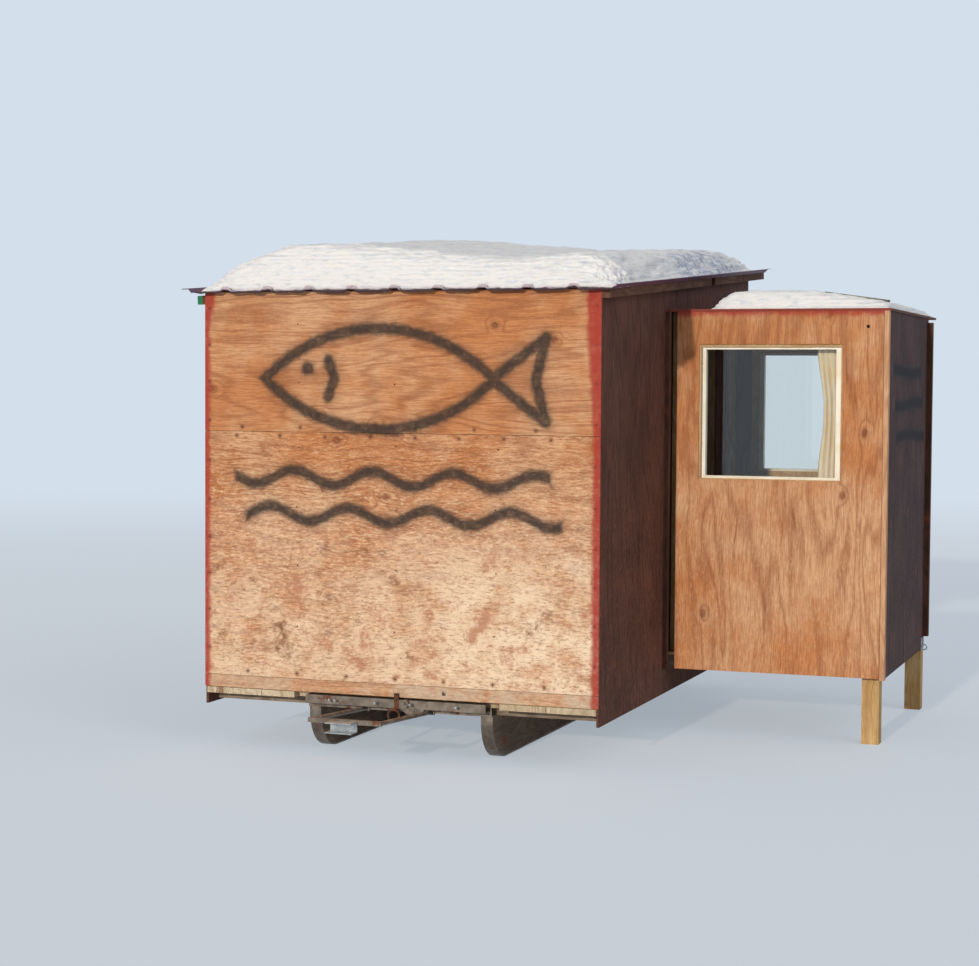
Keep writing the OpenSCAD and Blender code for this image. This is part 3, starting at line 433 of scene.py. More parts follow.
@dataclass(frozen=True)
class Wood(Finish):
    """Sawn or peeled wood: growth-ring figure, fibres, patches of weather, knots and cut edges.

    Softwood scatters little light and has no lacquer here, so it is rough with a weak gloss.
    """

    pale: str
    warm: str
    dark: str
    lay: Lay
    seed: float = 0.0
    figure: float = 0.45
    ring_count: float = 18.0
    ring_size: float = 0.32
    fibre_mm: float = 7.0
    fibre: float = 0.45
    knot_share: float = 0.35
    knot_size: float = 0.013
    knot_cells: float = 4.4
    knot_colour: str = "#7c4529"
    knot_ragged: float = 0.0025
    hump_reach: float = 0.058
    hump: float = 0.09
    plies: bool = False
    veneer_mm: float = 2.4
    roughness: float = 0.82
    bump_mm: float = 0.8

    def grain_place(self, tree: Tree, place: Socket) -> Socket:
        """Turn hut places so that x runs along the grain and y across it, moved by the seed and swayed.

        Args:
            tree: the node tree.
            place: the hut place.

        Returns:
            The turned place.
        """
        split = add(tree, "SeparateXYZ", None, (place,)).node
        axes = {"x": split.outputs[0], "y": split.outputs[1], "z": split.outputs[2]}
        turned = add(tree, "CombineXYZ", None, {i: axes[letter] for i, letter in enumerate(self.lay.value)})
        shift = (self.seed * 3.71, self.seed * 1.93, self.seed * 0.61)
        moved = add(tree, "Mapping", None, {"Vector": turned, "Location": shift})
        sway = add(tree, "TexNoise", None, {
            "Vector": moved, "Scale": scale_of(434.8), "Detail": 1.0}, out="Color")
        centred = add(tree, "VectorMath", MINUS, (sway, (0.5, 0.5, 0.5)))
        across = add(tree, "VectorMath", TIMES, (centred, (0.0, 0.07, 0.0)))
        return add(tree, "VectorMath", PLUS, (moved, across))

    def knot_distance(self, tree: Tree, grain: Socket) -> Socket:
        """Distance in metres from the nearest knot; knots stand at some of the points of a loose lattice.

        Args:
            tree: the node tree.
            grain: hut places turned along the grain.

        Returns:
            The distance, past 1 m where the lattice point has no knot.
        """
        spread = add(tree, "Mapping", None, {"Vector": grain, "Scale": (0.72, 1.0, 1.0)})
        cell = add(tree, "TexVoronoi", {"voronoi_dimensions": "2D"}, {
            "Vector": spread, "Scale": self.knot_cells}).node
        chance = add(tree, "SeparateColor", None, (cell.outputs["Color"],))
        missing = add(tree, "Math", {"operation": "GREATER_THAN"}, (chance, self.knot_share))
        return add(tree, "Math", PLUS, (
            add(tree, "Math", OVER, (cell.outputs["Distance"], self.knot_cells)), missing))

    def rings(self, tree: Tree, grain: Socket, knot: Socket | None) -> Socket:
        """Dark late-wood lines: the contour lines of a noise that is long along the grain and has a small
        hump at each knot, so that the lines run round it.

        Args:
            tree: the node tree.
            grain: hut places turned along the grain.
            knot: distance from the nearest knot, or None in clear wood.

        Returns:
            1 on a line and 0 between lines.
        """
        long = add(tree, "Mapping", None, {"Vector": grain, "Scale": (0.13, 1.0, 0.5)})
        level = add(tree, "TexNoise", None, {
            "Vector": long, "Scale": 1 / self.ring_size, "Detail": 3.0, "Roughness": 0.45,
            "Distortion": 0.5,
        })
        if knot is not None:
            level = add(tree, "Math", PLUS, (
                level, add(tree, "MapRange", EASED, (knot, self.hump_reach, 0.0, 0.0, self.hump))))
        count = add(tree, "Math", TIMES, (level, self.ring_count))
        wave = add(tree, "Math", FOLDED, (count, 0.5))
        return add(tree, "MapRange", EASED, (wave, 0.3, 0.0))

    def fibres(self, tree: Tree, grain: Socket) -> Socket:
        """Fine streaks along the grain. Real fibres are finer than a pixel, so they are drawn coarser.

        Args:
            tree: the node tree.
            grain: hut places turned along the grain.

        Returns:
            1 in a streak and 0 between streaks.
        """
        long = add(tree, "Mapping", None, {"Vector": grain, "Scale": (0.06, 1.0, 0.4)})
        streak = add(tree, "TexNoise", None, {
            "Vector": long, "Scale": scale_of(self.fibre_mm), "Detail": 3.0, "Roughness": 0.7})
        return add(tree, "MapRange", EASED, (streak, 0.38, 0.64))

    def knot_spots(self, tree: Tree, grain: Socket, knot: Socket, colour: Socket) -> Socket:
        """Draw the knots, reddish with a soft outline, in a halo of resin.

        Args:
            tree: the node tree.
            grain: hut places turned along the grain.
            knot: distance from the nearest knot.
            colour: the colour so far.

        Returns:
            The colour with its knots.
        """
        wobble = add(tree, "TexNoise", None, {"Vector": grain, "Scale": scale_of(22.22), "Detail": 2.0})
        reach = add(tree, "Math", PLUS, (
            knot, add(tree, "MapRange", EASED, (wobble, 0.3, 0.7, -self.knot_ragged, self.knot_ragged))))
        size = self.knot_size
        body = add(tree, "Mix", COLOURS, {
            SHARE: add(tree, "MapRange", EASED, (reach, size * 0.6, 0.0)), FIRST: linear(self.knot_colour),
            SECOND: linear(self.dark),
        }, MIXED)
        resin = add(tree, "MapRange", EASED, (reach, size * 3.0, size * 0.8, 0.0, 0.34))
        spot = add(tree, "MapRange", EASED, (reach, size * 1.5, size * 0.6, 0.0, 0.72))
        return add(tree, "Mix", COLOURS, {
            SHARE: spot,
            FIRST: add(tree, "Mix", COLOURS, {
                SHARE: resin, FIRST: colour, SECOND: linear(self.knot_colour),
            }, MIXED),
            SECOND: body,
        }, MIXED)

    def body_colour(self, tree: Tree, place: Socket, grain: Socket) -> tuple[Socket, Socket]:
        """Colour and height of the bare wood.

        Args:
            tree: the node tree.
            place: the hut place.
            grain: hut places turned along the grain.

        Returns:
            The colour, and a height from 0 to about 1 for the bump.
        """
        knot = self.knot_distance(tree, grain) if self.knot_share > 0 else None
        rings, fibres = self.rings(tree, grain, knot), self.fibres(tree, grain)
        patch = add(tree, "TexNoise", None, {
            "Vector": grain, "Scale": scale_of(384.6), "Detail": 5.0, "Roughness": 0.62})
        colour = add(tree, "Mix", COLOURS, {
            SHARE: add(tree, "MapRange", EASED, (patch, 0.36, 0.64)), FIRST: linear(self.pale),
            SECOND: linear(self.warm),
        }, MIXED)
        colour = add(tree, "Mix", COLOURS, {
            SHARE: add(tree, "Math", TIMES, (rings, self.figure)), FIRST: colour, SECOND: linear(self.dark),
        }, MIXED)
        colour = add(tree, "Mix", COLOURS, {
            SHARE: add(tree, "Math", TIMES, (fibres, self.fibre)), FIRST: colour, SECOND: linear(self.dark),
        }, MIXED)
        if knot is not None:
            colour = self.knot_spots(tree, grain, knot, colour)
        if self.plies:
            colour = self.ply_edges(tree, place, colour)
        height = add(tree, "Math", PLUS, (
            add(tree, "Math", TIMES, (rings, 0.4)), add(tree, "Math", TIMES, (fibres, 0.6))))
        return colour, height

    def ply_edges(self, tree: Tree, place: Socket, colour: Socket) -> Socket:
        """Show the veneers, light and dark in turn, where a sheet's edge is seen.

        Args:
            tree: the node tree.
            place: the hut place.
            colour: the colour so far.

        Returns:
            The colour with its edges.
        """
        through = "xyz".index(self.lay.value[2])
        normal = add(tree, "SeparateXYZ", None, (add(tree, "NewGeometry", out="Normal"),), out=through)
        edge = add(tree, "Math", {"operation": "LESS_THAN"}, (add(tree, "Math", SIZE, (normal,)), 0.5))
        depth = add(tree, "SeparateXYZ", None, (place,), out=through)
        thick = self.veneer_mm * MM
        veneer = add(tree, "Math", FOLDED, (depth, thick))
        stripe = add(tree, "MapRange", EASED, (veneer, 0.375 * thick, 0.625 * thick))
        layers = add(tree, "Mix", COLOURS, {
            SHARE: stripe, FIRST: linear(self.pale), SECOND: linear(self.dark)}, MIXED)
        return add(tree, "Mix", COLOURS, {SHARE: edge, FIRST: colour, SECOND: layers}, MIXED)

    def coats(self, tree: Tree, place: Socket, grain: Socket, colour: Socket) -> Socket:
        """Paint and dirt over the wood; bare wood has none."""
        return colour

    def shade(self, tree: Tree) -> Socket:
        """Wood with its coats, its fibres raised in the bump.

        Args:
            tree: the node tree.

        Returns:
            The surface's shader.
        """
        place = self.hut_place(tree)
        grain = self.grain_place(tree, place)
        colour, height = self.body_colour(tree, place, grain)
        colour = self.coats(tree, place, grain, colour)
        normal = add(tree, "Bump", None, {"Strength": 0.6, "Distance": self.bump_mm * MM, "Height": height})
        return add(tree, "BsdfPrincipled", None, {
            "Base Color": colour, "Roughness": self.roughness, "IOR": 1.45,
            "Specular IOR Level": 0.3, "Normal": normal})


@dataclass(frozen=True)
class Waves:
    """Wavy strokes on a wall, one over another: a sine along one axis, cut off at both ends."""

    along: int
    middle: float
    half: float
    level_axis: int
    levels: tuple[float, ...]
    height: float = 0.035
    length: float = 0.42
    stroke: float = 0.052
    next_aside: float = 0.06
    next_phase: float = 1.9

    def distances(self, tree: Tree, axes: Sockets) -> list[Socket]:
        """Distance from the middle line of each wave.

        Args:
            tree: the node tree.
            axes: x, y and z of the hut place.

        Returns:
            A distance in metres for each wave.
        """
        lines = []
        for turn, level in enumerate(self.levels):
            angle = add(tree, "Math", TIMES, (axes[self.along], 2 * math.pi / self.length))
            swing = add(tree, "Math", SINE, (add(tree, "Math", PLUS, (angle, self.next_phase * turn)),))
            crest = add(tree, "Math", TIMES, (swing, self.height))
            above = add(tree, "Math", MINUS, (axes[self.level_axis], level))
            off_line = add(tree, "Math", SIZE, (add(tree, "Math", MINUS, (above, crest)),))
            middle = self.middle + self.next_aside * turn
            aside = add(tree, "Math", SIZE, (add(tree, "Math", MINUS, (axes[self.along], middle)),))
            past = add(tree, "Math", MINUS, (aside, self.half))
            lines.append(add(tree, "Math", MOST, (off_line, past)))
        return lines

    def distance(self, tree: Tree, axes: Sockets) -> Socket:
        """Signed distance to the nearest wave's edge, below 0 inside the paint.

        Args:
            tree: the node tree.
            axes: x, y and z of the hut place.

        Returns:
            The distance in metres.
        """
        nearest, *others = self.distances(tree, axes)
        for other in others:
            nearest = add(tree, "Math", LEAST, (nearest, other))
        return add(tree, "Math", MINUS, (nearest, self.stroke / 2))


@dataclass(frozen=True)
class FishMotif:
    """A plain fish over two waves on the front wall, sprayed by hand in one stroke width.

    The eye and both ends of the gill are counted from the fish's middle.
    """

    centre_x: float = -1.13
    centre_z: float = 1.545
    half_length: float = 0.60
    half_height: float = 0.245
    stroke: float = 0.056
    tail: float = 0.27
    tail_spread: float = 0.20
    tail_notch: float = 0.05
    tail_lap: float = 0.01
    eye: tuple[float, float] = (-0.37, 0.05)
    eye_radius: float = 0.006
    gill_foot: float = -0.23
    gill_top: tuple[float, float] = (-0.26, 0.09)
    waves: Waves = Waves(along=0, middle=-1.07, half=0.80, level_axis=2, levels=(1.06, 0.88))

    def distance(self, tree: Tree, axes: Sockets) -> Socket:
        """Signed distance to the nearest stroke's edge, below 0 inside the paint.

        The body is where two circles cross, so its outline is the absolute value of the larger of the two
        distances to the circles. The tail is a straight stroke mirrored in the fish's middle line.

        Args:
            tree: the node tree.
            axes: x, y and z of the hut place.

        Returns:
            The distance in metres.
        """
        radius = (self.half_length**2 + self.half_height**2) / (2 * self.half_height)
        offset = radius - self.half_height
        wall = add(tree, "CombineXYZ", None, (axes[0], axes[2]))

        def far(x: float, z: float) -> Socket:
            """Distance from a place on the wall."""
            return add(tree, "VectorMath", APART, (wall, (x, z, 0)), out="Value")

        lower, upper = (far(self.centre_x, self.centre_z + side * offset) for side in (-1, 1))
        lens = add(tree, "Math", MINUS, (add(tree, "Math", MOST, (lower, upper)), radius))
        body = add(tree, "Math", SIZE, (lens,))

        level = add(tree, "Math", SIZE, (add(tree, "Math", MINUS, (axes[2], self.centre_z)),))
        folded = add(tree, "CombineXYZ", None, (axes[0], level))
        root = self.centre_x + self.half_length - self.tail_lap
        tip = (root + self.tail, self.tail_spread)
        tail = self.segment(tree, folded, (root, 0.0), tip)
        end = self.segment(tree, folded, (tip[0] - self.tail_notch, 0.0), tip)
        from_eye = far(self.centre_x + self.eye[0], self.centre_z + self.eye[1])
        eye = add(tree, "Math", MINUS, (from_eye, self.eye_radius))
        gill_top = (self.centre_x + self.gill_top[0], self.gill_top[1])
        gill = self.segment(tree, folded, (self.centre_x + self.gill_foot, 0.0), gill_top)
        strokes = [body, tail, end, eye, gill, *self.waves.distances(tree, axes)]
        nearest, *others = strokes
        for other in others:
            nearest = add(tree, "Math", LEAST, (nearest, other))
        return add(tree, "Math", MINUS, (nearest, self.stroke / 2))

    def segment(
        self, tree: Tree, point: Socket, start: tuple[float, float], end: tuple[float, float]
    ) -> Socket:
        """Distance from a straight line between two places on the wall.

        The nearest place lies at the share of the line that the dot product gives, held between 0 and 1.

        Args:
            tree: the node tree.
            point: the place to measure from.
            start: one end of the line.
            end: its other end.

        Returns:
            The distance in metres.
        """
        run = (end[0] - start[0], end[1] - start[1], 0.0)
        length = run[0] ** 2 + run[1] ** 2
        arm = add(tree, "VectorMath", MINUS, (point, (*start, 0.0)))
        along = add(tree, "VectorMath", {"operation": "DOT_PRODUCT"}, (arm, run), out="Value")
        share = add(tree, "Math", {"operation": "DIVIDE", "use_clamp": True}, (along, length))
        near = add(tree, "VectorMath", {"operation": "SCALE"}, {0: run, 3: share})
        return add(tree, "VectorMath", APART, (arm, near), out="Value")


FRONT_NAILS = (
    NailLine(along=2, first=0.10, last=1.93, across=0, level=-2.041),
    NailLine(along=2, first=0.10, last=1.93, across=0, level=-0.020),
    NailLine(along=0, first=-1.95, last=-0.10, across=2, level=1.262, pitch=0.235),
    NailLine(along=0, first=-1.95, last=-0.10, across=2, level=1.305, pitch=0.31),
    NailLine(along=0, first=-1.95, last=-0.10, across=2, level=0.086, pitch=0.26),
)


@dataclass(frozen=True)
class WeatheredPly(Wood):
    """A plywood face bleached by low sun: paler and speckled where snow has rubbed it, stained by melt.

    Each stripe's widening is two heights on the wall, then how far left of x = 0 its line lies at each.
    """

    bleach: str = "#efd7ba"
    bleach_from: float = 1.15
    bleach_to: float = 0.25
    bleach_share: float = 0.0
    stain_share: float = 0.0
    streak_share: float = 0.0
    speckle: float = 0.25
    side_stripes: bool = False
    top_band: bool = False
    motif: FishMotif | Waves | None = None
    motif_colour: str = "#37302c"
    nails: tuple[NailLine, ...] = ()
    nail_halo: tuple[float, float] = (0.02, 0.004)
    ragged: float = 0.006
    haze_reach: float = 0.05
    soft_edge: float = 0.014
    right_widening: tuple[float, ...] = (1.2, 1.95, 0.0, 0.034)
    left_widening: tuple[float, ...] = (1.8, 1.97, 2.073, 2.045)
    stripe_edge: tuple[float, float] = (0.05, 0.022)
    band_edge: tuple[float, float] = (1.868, 1.9)

    def coats(self, tree: Tree, place: Socket, grain: Socket, colour: Socket) -> Socket:
        """Bleach, speckle, stains and cracks first, then the nails' stains and the sprayed paints.

        Args:
            tree: the node tree.
            place: the hut place.
            grain: hut places turned along the grain.
            colour: the colour so far.

        Returns:
            The colour with its coats.
        """
        axes = add(tree, "SeparateXYZ", None, (place,)).node.outputs
        grit = add(tree, "Mapping", None, {"Vector": grain, "Scale": (0.28, 1.0, 1.0)})
        speck = add(tree, "TexNoise", None, {
            "Vector": grit, "Scale": scale_of(8.333), "Detail": 3.0, "Roughness": 0.75})
        cloud = add(tree, "TexNoise", None, {
            "Vector": grain, "Scale": scale_of(217.4), "Detail": 7.0, "Roughness": 0.68})
        if self.bleach_share > 0:
            low = add(tree, "MapRange", EASED, (axes[2], self.bleach_from, self.bleach_to))
            aside = add(tree, "MapRange", EASED, (axes[0], -1.3, -0.3, 0.8, 1.45))
            clouded = low
            for factor in (aside, add(tree, "MapRange", EASED, (cloud, 0.34, 0.6, 0.2, 1.0))):
                clouded = add(tree, "Math", TIMES, (clouded, factor))
            colour = add(tree, "Mix", COLOURS, {
                SHARE: add(tree, "Math", TIMES, (clouded, self.bleach_share)), FIRST: colour,
                SECOND: linear(self.bleach),
            }, MIXED)
        rubbed = add(tree, "MapRange", EASED, (axes[2], 1.35, 0.75, 0.35, 1.0))
        light = add(tree, "MapRange", EASED, (speck, 0.52, 0.66))
        for factor in (rubbed, self.speckle):
            light = add(tree, "Math", TIMES, (light, factor))
        dark = add(tree, "Math", TIMES, (add(tree, "MapRange", EASED, (speck, 0.48, 0.34)), self.speckle))
        colour = add(tree, "Mix", COLOURS, {
            SHARE: light, FIRST: colour, SECOND: linear("#f6dcb8")}, MIXED)
        colour = add(tree, "Mix", COLOURS, {
            SHARE: dark, FIRST: colour, SECOND: linear(self.dark)}, MIXED)
        if self.stain_share > 0:
            colour = self.stains(tree, axes, grain, colour)
        if self.streak_share > 0:
            thin = add(tree, "Mapping", None, {"Vector": grain, "Scale": (0.14, 1.0, 1.0)})
            crack = add(tree, "TexNoise", None, {
                "Vector": thin, "Scale": scale_of(52.63), "Detail": 5.0, "Roughness": 0.66})
            line = add(tree, "Math", TIMES, (
                add(tree, "MapRange", EASED, (crack, 0.58, 0.72)), self.streak_share))
            colour = add(tree, "Mix", COLOURS, {
                SHARE: line, FIRST: colour, SECOND: linear(self.dark)}, MIXED)
        if self.nails:
            nearest, *others = [line.distance(tree, axes) for line in self.nails]
            for other in others:
                nearest = add(tree, "Math", LEAST, (nearest, other))
            halo = add(tree, "MapRange", EASED, (nearest, *self.nail_halo, 0.0, 0.6))
            colour = add(tree, "Mix", COLOURS, {
                SHARE: halo, FIRST: colour, SECOND: linear("#6d4023")}, MIXED)
        return self.sprays(tree, place, axes, colour)

    def stains(self, tree: Tree, axes: Sockets, grain: Socket, colour: Socket) -> Socket:
        """Brown melt stains near the foot, and reddish and greyish blooms over more of the sheet.

        Args:
            tree: the node tree.
            axes: x, y and z of the hut place.
            grain: hut places turned along the grain.
            colour: the colour so far.

        Returns:
            The stained colour.
        """
        blot = add(tree, "TexNoise", None, {
            "Vector": grain, "Scale": scale_of(166.7), "Detail": 8.0, "Roughness": 0.74, "Distortion": 0.2})
        low = add(tree, "MapRange", EASED, (axes[2], 1.1, 0.5, 0.15, 1.0))
        for start, full, share, code in ((0.54, 0.70, 1.0, "#8f5f3d"), (0.47, 0.36, 0.75, "#b5785c"),
                                         (0.60, 0.72, 0.5, "#7a6258")):
            wet = add(tree, "MapRange", EASED, (blot, start, full))
            for factor in (low, self.stain_share * share):
                wet = add(tree, "Math", TIMES, (wet, factor))
            colour = add(tree, "Mix", COLOURS, {SHARE: wet, FIRST: colour, SECOND: linear(code)}, MIXED)
        return colour

    def sprays(self, tree: Tree, place: Socket, axes: Sockets, colour: Socket) -> Socket:
        """Spray paint: the dark motif, then red down the corners or along the top. Its edges are soft,
        and it lies thinner in places.

        Args:
            tree: the node tree.
            place: the hut place.
            axes: x, y and z of the hut place.
            colour: the colour so far.

        Returns:
            The sprayed colour.
        """
        drift = add(tree, "TexNoise", None, {
            "Vector": place, "Scale": scale_of(41.67), "Detail": 4.0, "Roughness": 0.6})
        ragged = add(tree, "MapRange", EASED, (drift, 0.3, 0.7, -self.ragged, self.ragged))
        cover = add(tree, "MapRange", EASED, (drift, 0.3, 0.6, 0.8, 1.0))
        if self.motif is not None:
            reach = add(tree, "Math", PLUS, (self.motif.distance(tree, axes), ragged))
            haze = add(tree, "MapRange", EASED, (reach, self.haze_reach, 0.0, 0.0, 0.2))
            solid = add(tree, "Math", TIMES, (
                add(tree, "MapRange", EASED, (reach, self.soft_edge, -self.soft_edge, 0.0, 0.94)), cover))
            colour = add(tree, "Mix", COLOURS, {
                SHARE: haze, FIRST: colour, SECOND: linear(self.motif_colour)}, MIXED)
            colour = add(tree, "Mix", COLOURS, {
                SHARE: solid, FIRST: colour, SECOND: linear(self.motif_colour)}, MIXED)
        red = linear("#a83c33")
        if self.side_stripes:
            wide = add(tree, "MapRange", EASED, (axes[2], *self.right_widening))
            to_right = add(tree, "Math", TIMES, (axes[0], -1.0))
            right = add(tree, "Math", MINUS, (to_right, wide))
            corner = add(tree, "MapRange", EASED, (axes[2], *self.left_widening))
            left = add(tree, "Math", PLUS, (axes[0], corner))
            reach = add(tree, "Math", PLUS, (add(tree, "Math", LEAST, (left, right)), ragged))
            paint = add(tree, "Math", TIMES, (
                add(tree, "MapRange", EASED, (reach, *self.stripe_edge, 0.0, 0.96)), cover))
            colour = add(tree, "Mix", COLOURS, {SHARE: paint, FIRST: colour, SECOND: red}, MIXED)
        if self.top_band:
            reach = add(tree, "Math", PLUS, (axes[2], ragged))
            paint = add(tree, "Math", TIMES, (
                add(tree, "MapRange", EASED, (reach, *self.band_edge, 0.0, 0.86)), cover))
            colour = add(tree, "Mix", COLOURS, {SHARE: paint, FIRST: colour, SECOND: red}, MIXED)
        return colour


@dataclass(frozen=True)
class BattenWood(Wood):
    """Sawn batten with most of its front end painted, as an off-cut of a painted board has."""

    end_paint: str = "#2f7a55"
    paint_depth: float = 0.012
    paint_x: float = -2.083
    paint_fade: float = 0.01
    side_fade: float = 0.002

    def coats(self, tree: Tree, place: Socket, grain: Socket, colour: Socket) -> Socket:
        """Paint the outer part of the end that faces front, and a little of the sides behind it.

        Args:
            tree: the node tree.
            place: the hut place.
            grain: hut places turned along the grain; not used here.
            colour: the colour so far.

        Returns:
            The colour with its paint.
        """
        axes = add(tree, "SeparateXYZ", None, (place,)).node.outputs
        front = add(tree, "MapRange", EASED, (axes[1], self.paint_depth + self.paint_fade, self.paint_depth))
        outer = add(tree, "MapRange", EASED, (axes[0], self.paint_x + self.side_fade, self.paint_x))
        return add(tree, "Mix", COLOURS, {
            SHARE: add(tree, "Math", TIMES, (front, outer)), FIRST: colour, SECOND: linear(self.end_paint),
        }, MIXED)


@dataclass(frozen=True)
class Metal(Finish):
    """Steel, bare, zinc-coated or painted, with patches of another tone and rust in its low noise."""

    base: str
    patch: str
    rust: str = "#6a3d22"
    rust_share: float = 0.2
    metallic: float = 1.0
    roughness: float = 0.45
    patch_size: float = 0.06
    spangle: bool = False

    def shade(self, tree: Tree) -> Socket:
        """Two tones of metal, with rust that takes the shine away.

        Args:
            tree: the node tree.

        Returns:
            The surface's shader.
        """
        place = self.hut_place(tree)
        if self.spangle:
            spangles = {"Vector": place, "Scale": 1 / self.patch_size}
            cell = add(tree, "TexVoronoi", None, spangles, out="Color")
            tone = add(tree, "SeparateColor", None, (cell,))
        else:
            noise = add(tree, "TexNoise", None, {
                "Vector": place, "Scale": 1 / self.patch_size, "Detail": 5.0, "Roughness": 0.6})
            tone = add(tree, "MapRange", EASED, (noise, 0.35, 0.65))
        colour = add(tree, "Mix", COLOURS, {
            SHARE: tone, FIRST: linear(self.base), SECOND: linear(self.patch)}, MIXED)
        spot = add(tree, "TexNoise", None, {
            "Vector": place, "Scale": scale_of(47.62), "Detail": 8.0, "Roughness": 0.7})
        rust = add(tree, "MapRange", EASED, (
            spot, 0.72 - 0.35 * self.rust_share, 0.8 - 0.35 * self.rust_share))
        colour = add(tree, "Mix", COLOURS, {
            SHARE: rust, FIRST: colour, SECOND: linear(self.rust)}, MIXED)
        shine = add(tree, "MapRange", EASED, (rust, 0.0, 1.0, self.metallic, 0.1))
        rough = add(tree, "MapRange", EASED, (rust, 0.0, 1.0, self.roughness, 0.85))
        fine = add(tree, "TexNoise", None, {"Vector": place, "Scale": scale_of(2.381), "Detail": 3.0})
        height = add(tree, "Math", PLUS, (add(tree, "Math", TIMES, (fine, 0.3)), rust))
        normal = add(tree, "Bump", None, {"Strength": 0.35, "Distance": 0.4 * MM, "Height": height})
        return add(tree, "BsdfPrincipled", None, {
            "Base Color": colour, "Metallic": shine, "Roughness": rough, "Normal": normal})


@dataclass(frozen=True)
class FramePaint(Finish):
    """Cream alkyd paint on wood: brushed, yellowed, and worn to grey wood along the lower bars."""

    worn_heights: tuple[float, float] = (1.062, 1.045)
    reveal_shade_left: float = 0.007
    reveal_shade_top: float = 0.003
    reveal_shade_edge: float = 0.003
    reveal_shade_ragged: float = 0.001
    reveal_shade_behind: tuple[float, float] = (0.02, 0.01)

    def shade(self, tree: Tree) -> Socket:
        """Paint with faint brush marks, worn through by a speckle near the sill, with painted shade along
        the front frame's left and top edges.

        Args:
            tree: the node tree.

        Returns:
            The surface's shader.
        """
        place = self.hut_place(tree)
        tone = add(tree, "TexNoise", None, {"Vector": place, "Scale": scale_of(111.1), "Detail": 4.0})
        colour = add(tree, "Mix", COLOURS, {
            SHARE: add(tree, "MapRange", EASED, (tone, 0.35, 0.65)), FIRST: linear("#faf5e6"),
            SECOND: linear("#efe6cc"),
        }, MIXED)
        chips = add(tree, "TexNoise", None, {
            "Vector": place, "Scale": scale_of(7.692), "Detail": 5.0, "Roughness": 0.7})
        height = add(tree, "SeparateXYZ", None, (place,), out="Z")
        low = add(tree, "MapRange", EASED, (height, *self.worn_heights, 0.0, 0.08))
        worn = add(tree, "Math", PLUS, (chips, low))
        colour = add(tree, "Mix", COLOURS, {
            SHARE: add(tree, "MapRange", EASED, (worn, 0.67, 0.73)), FIRST: colour,
            SECOND: linear("#8b8272"),
        }, MIXED)
        # Painted shade: a dark brown rim where the sheet's cut edge would shade the frame.
        colour = add(tree, "Mix", COLOURS, {
            SHARE: self.reveal_shade_share(tree, place, chips), FIRST: colour, SECOND: linear("#5b4433")}, MIXED)
        brush = add(tree, "Mapping", None, {"Vector": place, "Scale": (1.0, 1.0, 0.15)})
        marks = add(tree, "TexNoise", None, {"Vector": brush, "Scale": scale_of(2), "Detail": 2.0})
        normal = add(tree, "Bump", None, {"Strength": 0.3, "Distance": 0.3 * MM, "Height": marks})
        return add(tree, "BsdfPrincipled", None, {
            "Base Color": colour, "Roughness": 0.42, "IOR": 1.48, "Normal": normal})

    def reveal_shade_share(self, tree: Tree, place: Socket, chips: Socket) -> Socket:
        """Painted shade of the sheet's cut edge along the front frame's left and top, widest at its left,
        and none on the back frame.

        Args:
            tree: the node tree.
            place: the hut place.
            chips: a fine noise that makes the painted shade's edge ragged.

        Returns:
            The painted shade's share of the colour.
        """
        lo, hi = HutPlaces.from_frame().box("front_window_frame")
        axes = add(tree, "SeparateXYZ", None, (place,)).node.outputs
        from_left = add(tree, "Math", MINUS, (axes[0], lo.x + self.reveal_shade_left))
        from_top = add(tree, "Math", MINUS, (hi.z - self.reveal_shade_top, axes[2]))
        rim = add(tree, "Math", LEAST, (from_left, from_top))
        ragged = add(tree, "Math", PLUS, (
            rim, add(tree, "MapRange", EASED, (chips, 0.3, 0.7, -self.reveal_shade_ragged, self.reveal_shade_ragged))))
        return add(tree, "Math", TIMES, (
            add(tree, "MapRange", EASED, (ragged, self.reveal_shade_edge, 0.0, 0.0, 0.85)),
            add(tree, "MapRange", EASED, (axes[1], *(hi.y + reach for reach in self.reveal_shade_behind))),
        ))


@dataclass(frozen=True)
class WindowGlass(Finish):
    """Float glass of IOR 1.5, clear with a trace of green, lightly dusted.

    A thin pane hardly bends light, so light passes straight and the sun reaches the curtain. Each face
    mirrors 4 % of it, and more the flatter it is met.
    """

    mirrored: float = 0.04

    def shade(self, tree: Tree) -> Socket:
        """Clear glass under a mirror by Schlick's rule, a little blurred where dust lies.

        Args:
            tree: the node tree.

        Returns:
            The surface's shader.
        """
        dust = add(tree, "TexNoise", None, {
            "Vector": self.hut_place(tree), "Scale": scale_of(166.7), "Detail": 6.0, "Roughness": 0.6})
        rough = add(tree, "MapRange", EASED, (dust, 0.45, 0.75, 0.0, 0.03))
        flat = add(tree, "LayerWeight", None, {"Blend": 0.5}, out="Facing")
        steep = add(tree, "Math", {"operation": "POWER"}, (flat, 5.0))
        gloss = add(tree, "MapRange", EASED, (steep, 0.0, 1.0, self.mirrored, 1.0))
        clear = add(tree, "BsdfTransparent", None, {"Color": linear("#fbfcfb")})
        mirror = add(tree, "BsdfGlossy", None, {"Color": linear("#ffffff"), "Roughness": rough})
        return add(tree, "MixShader", None, (gloss, clear, mirror))


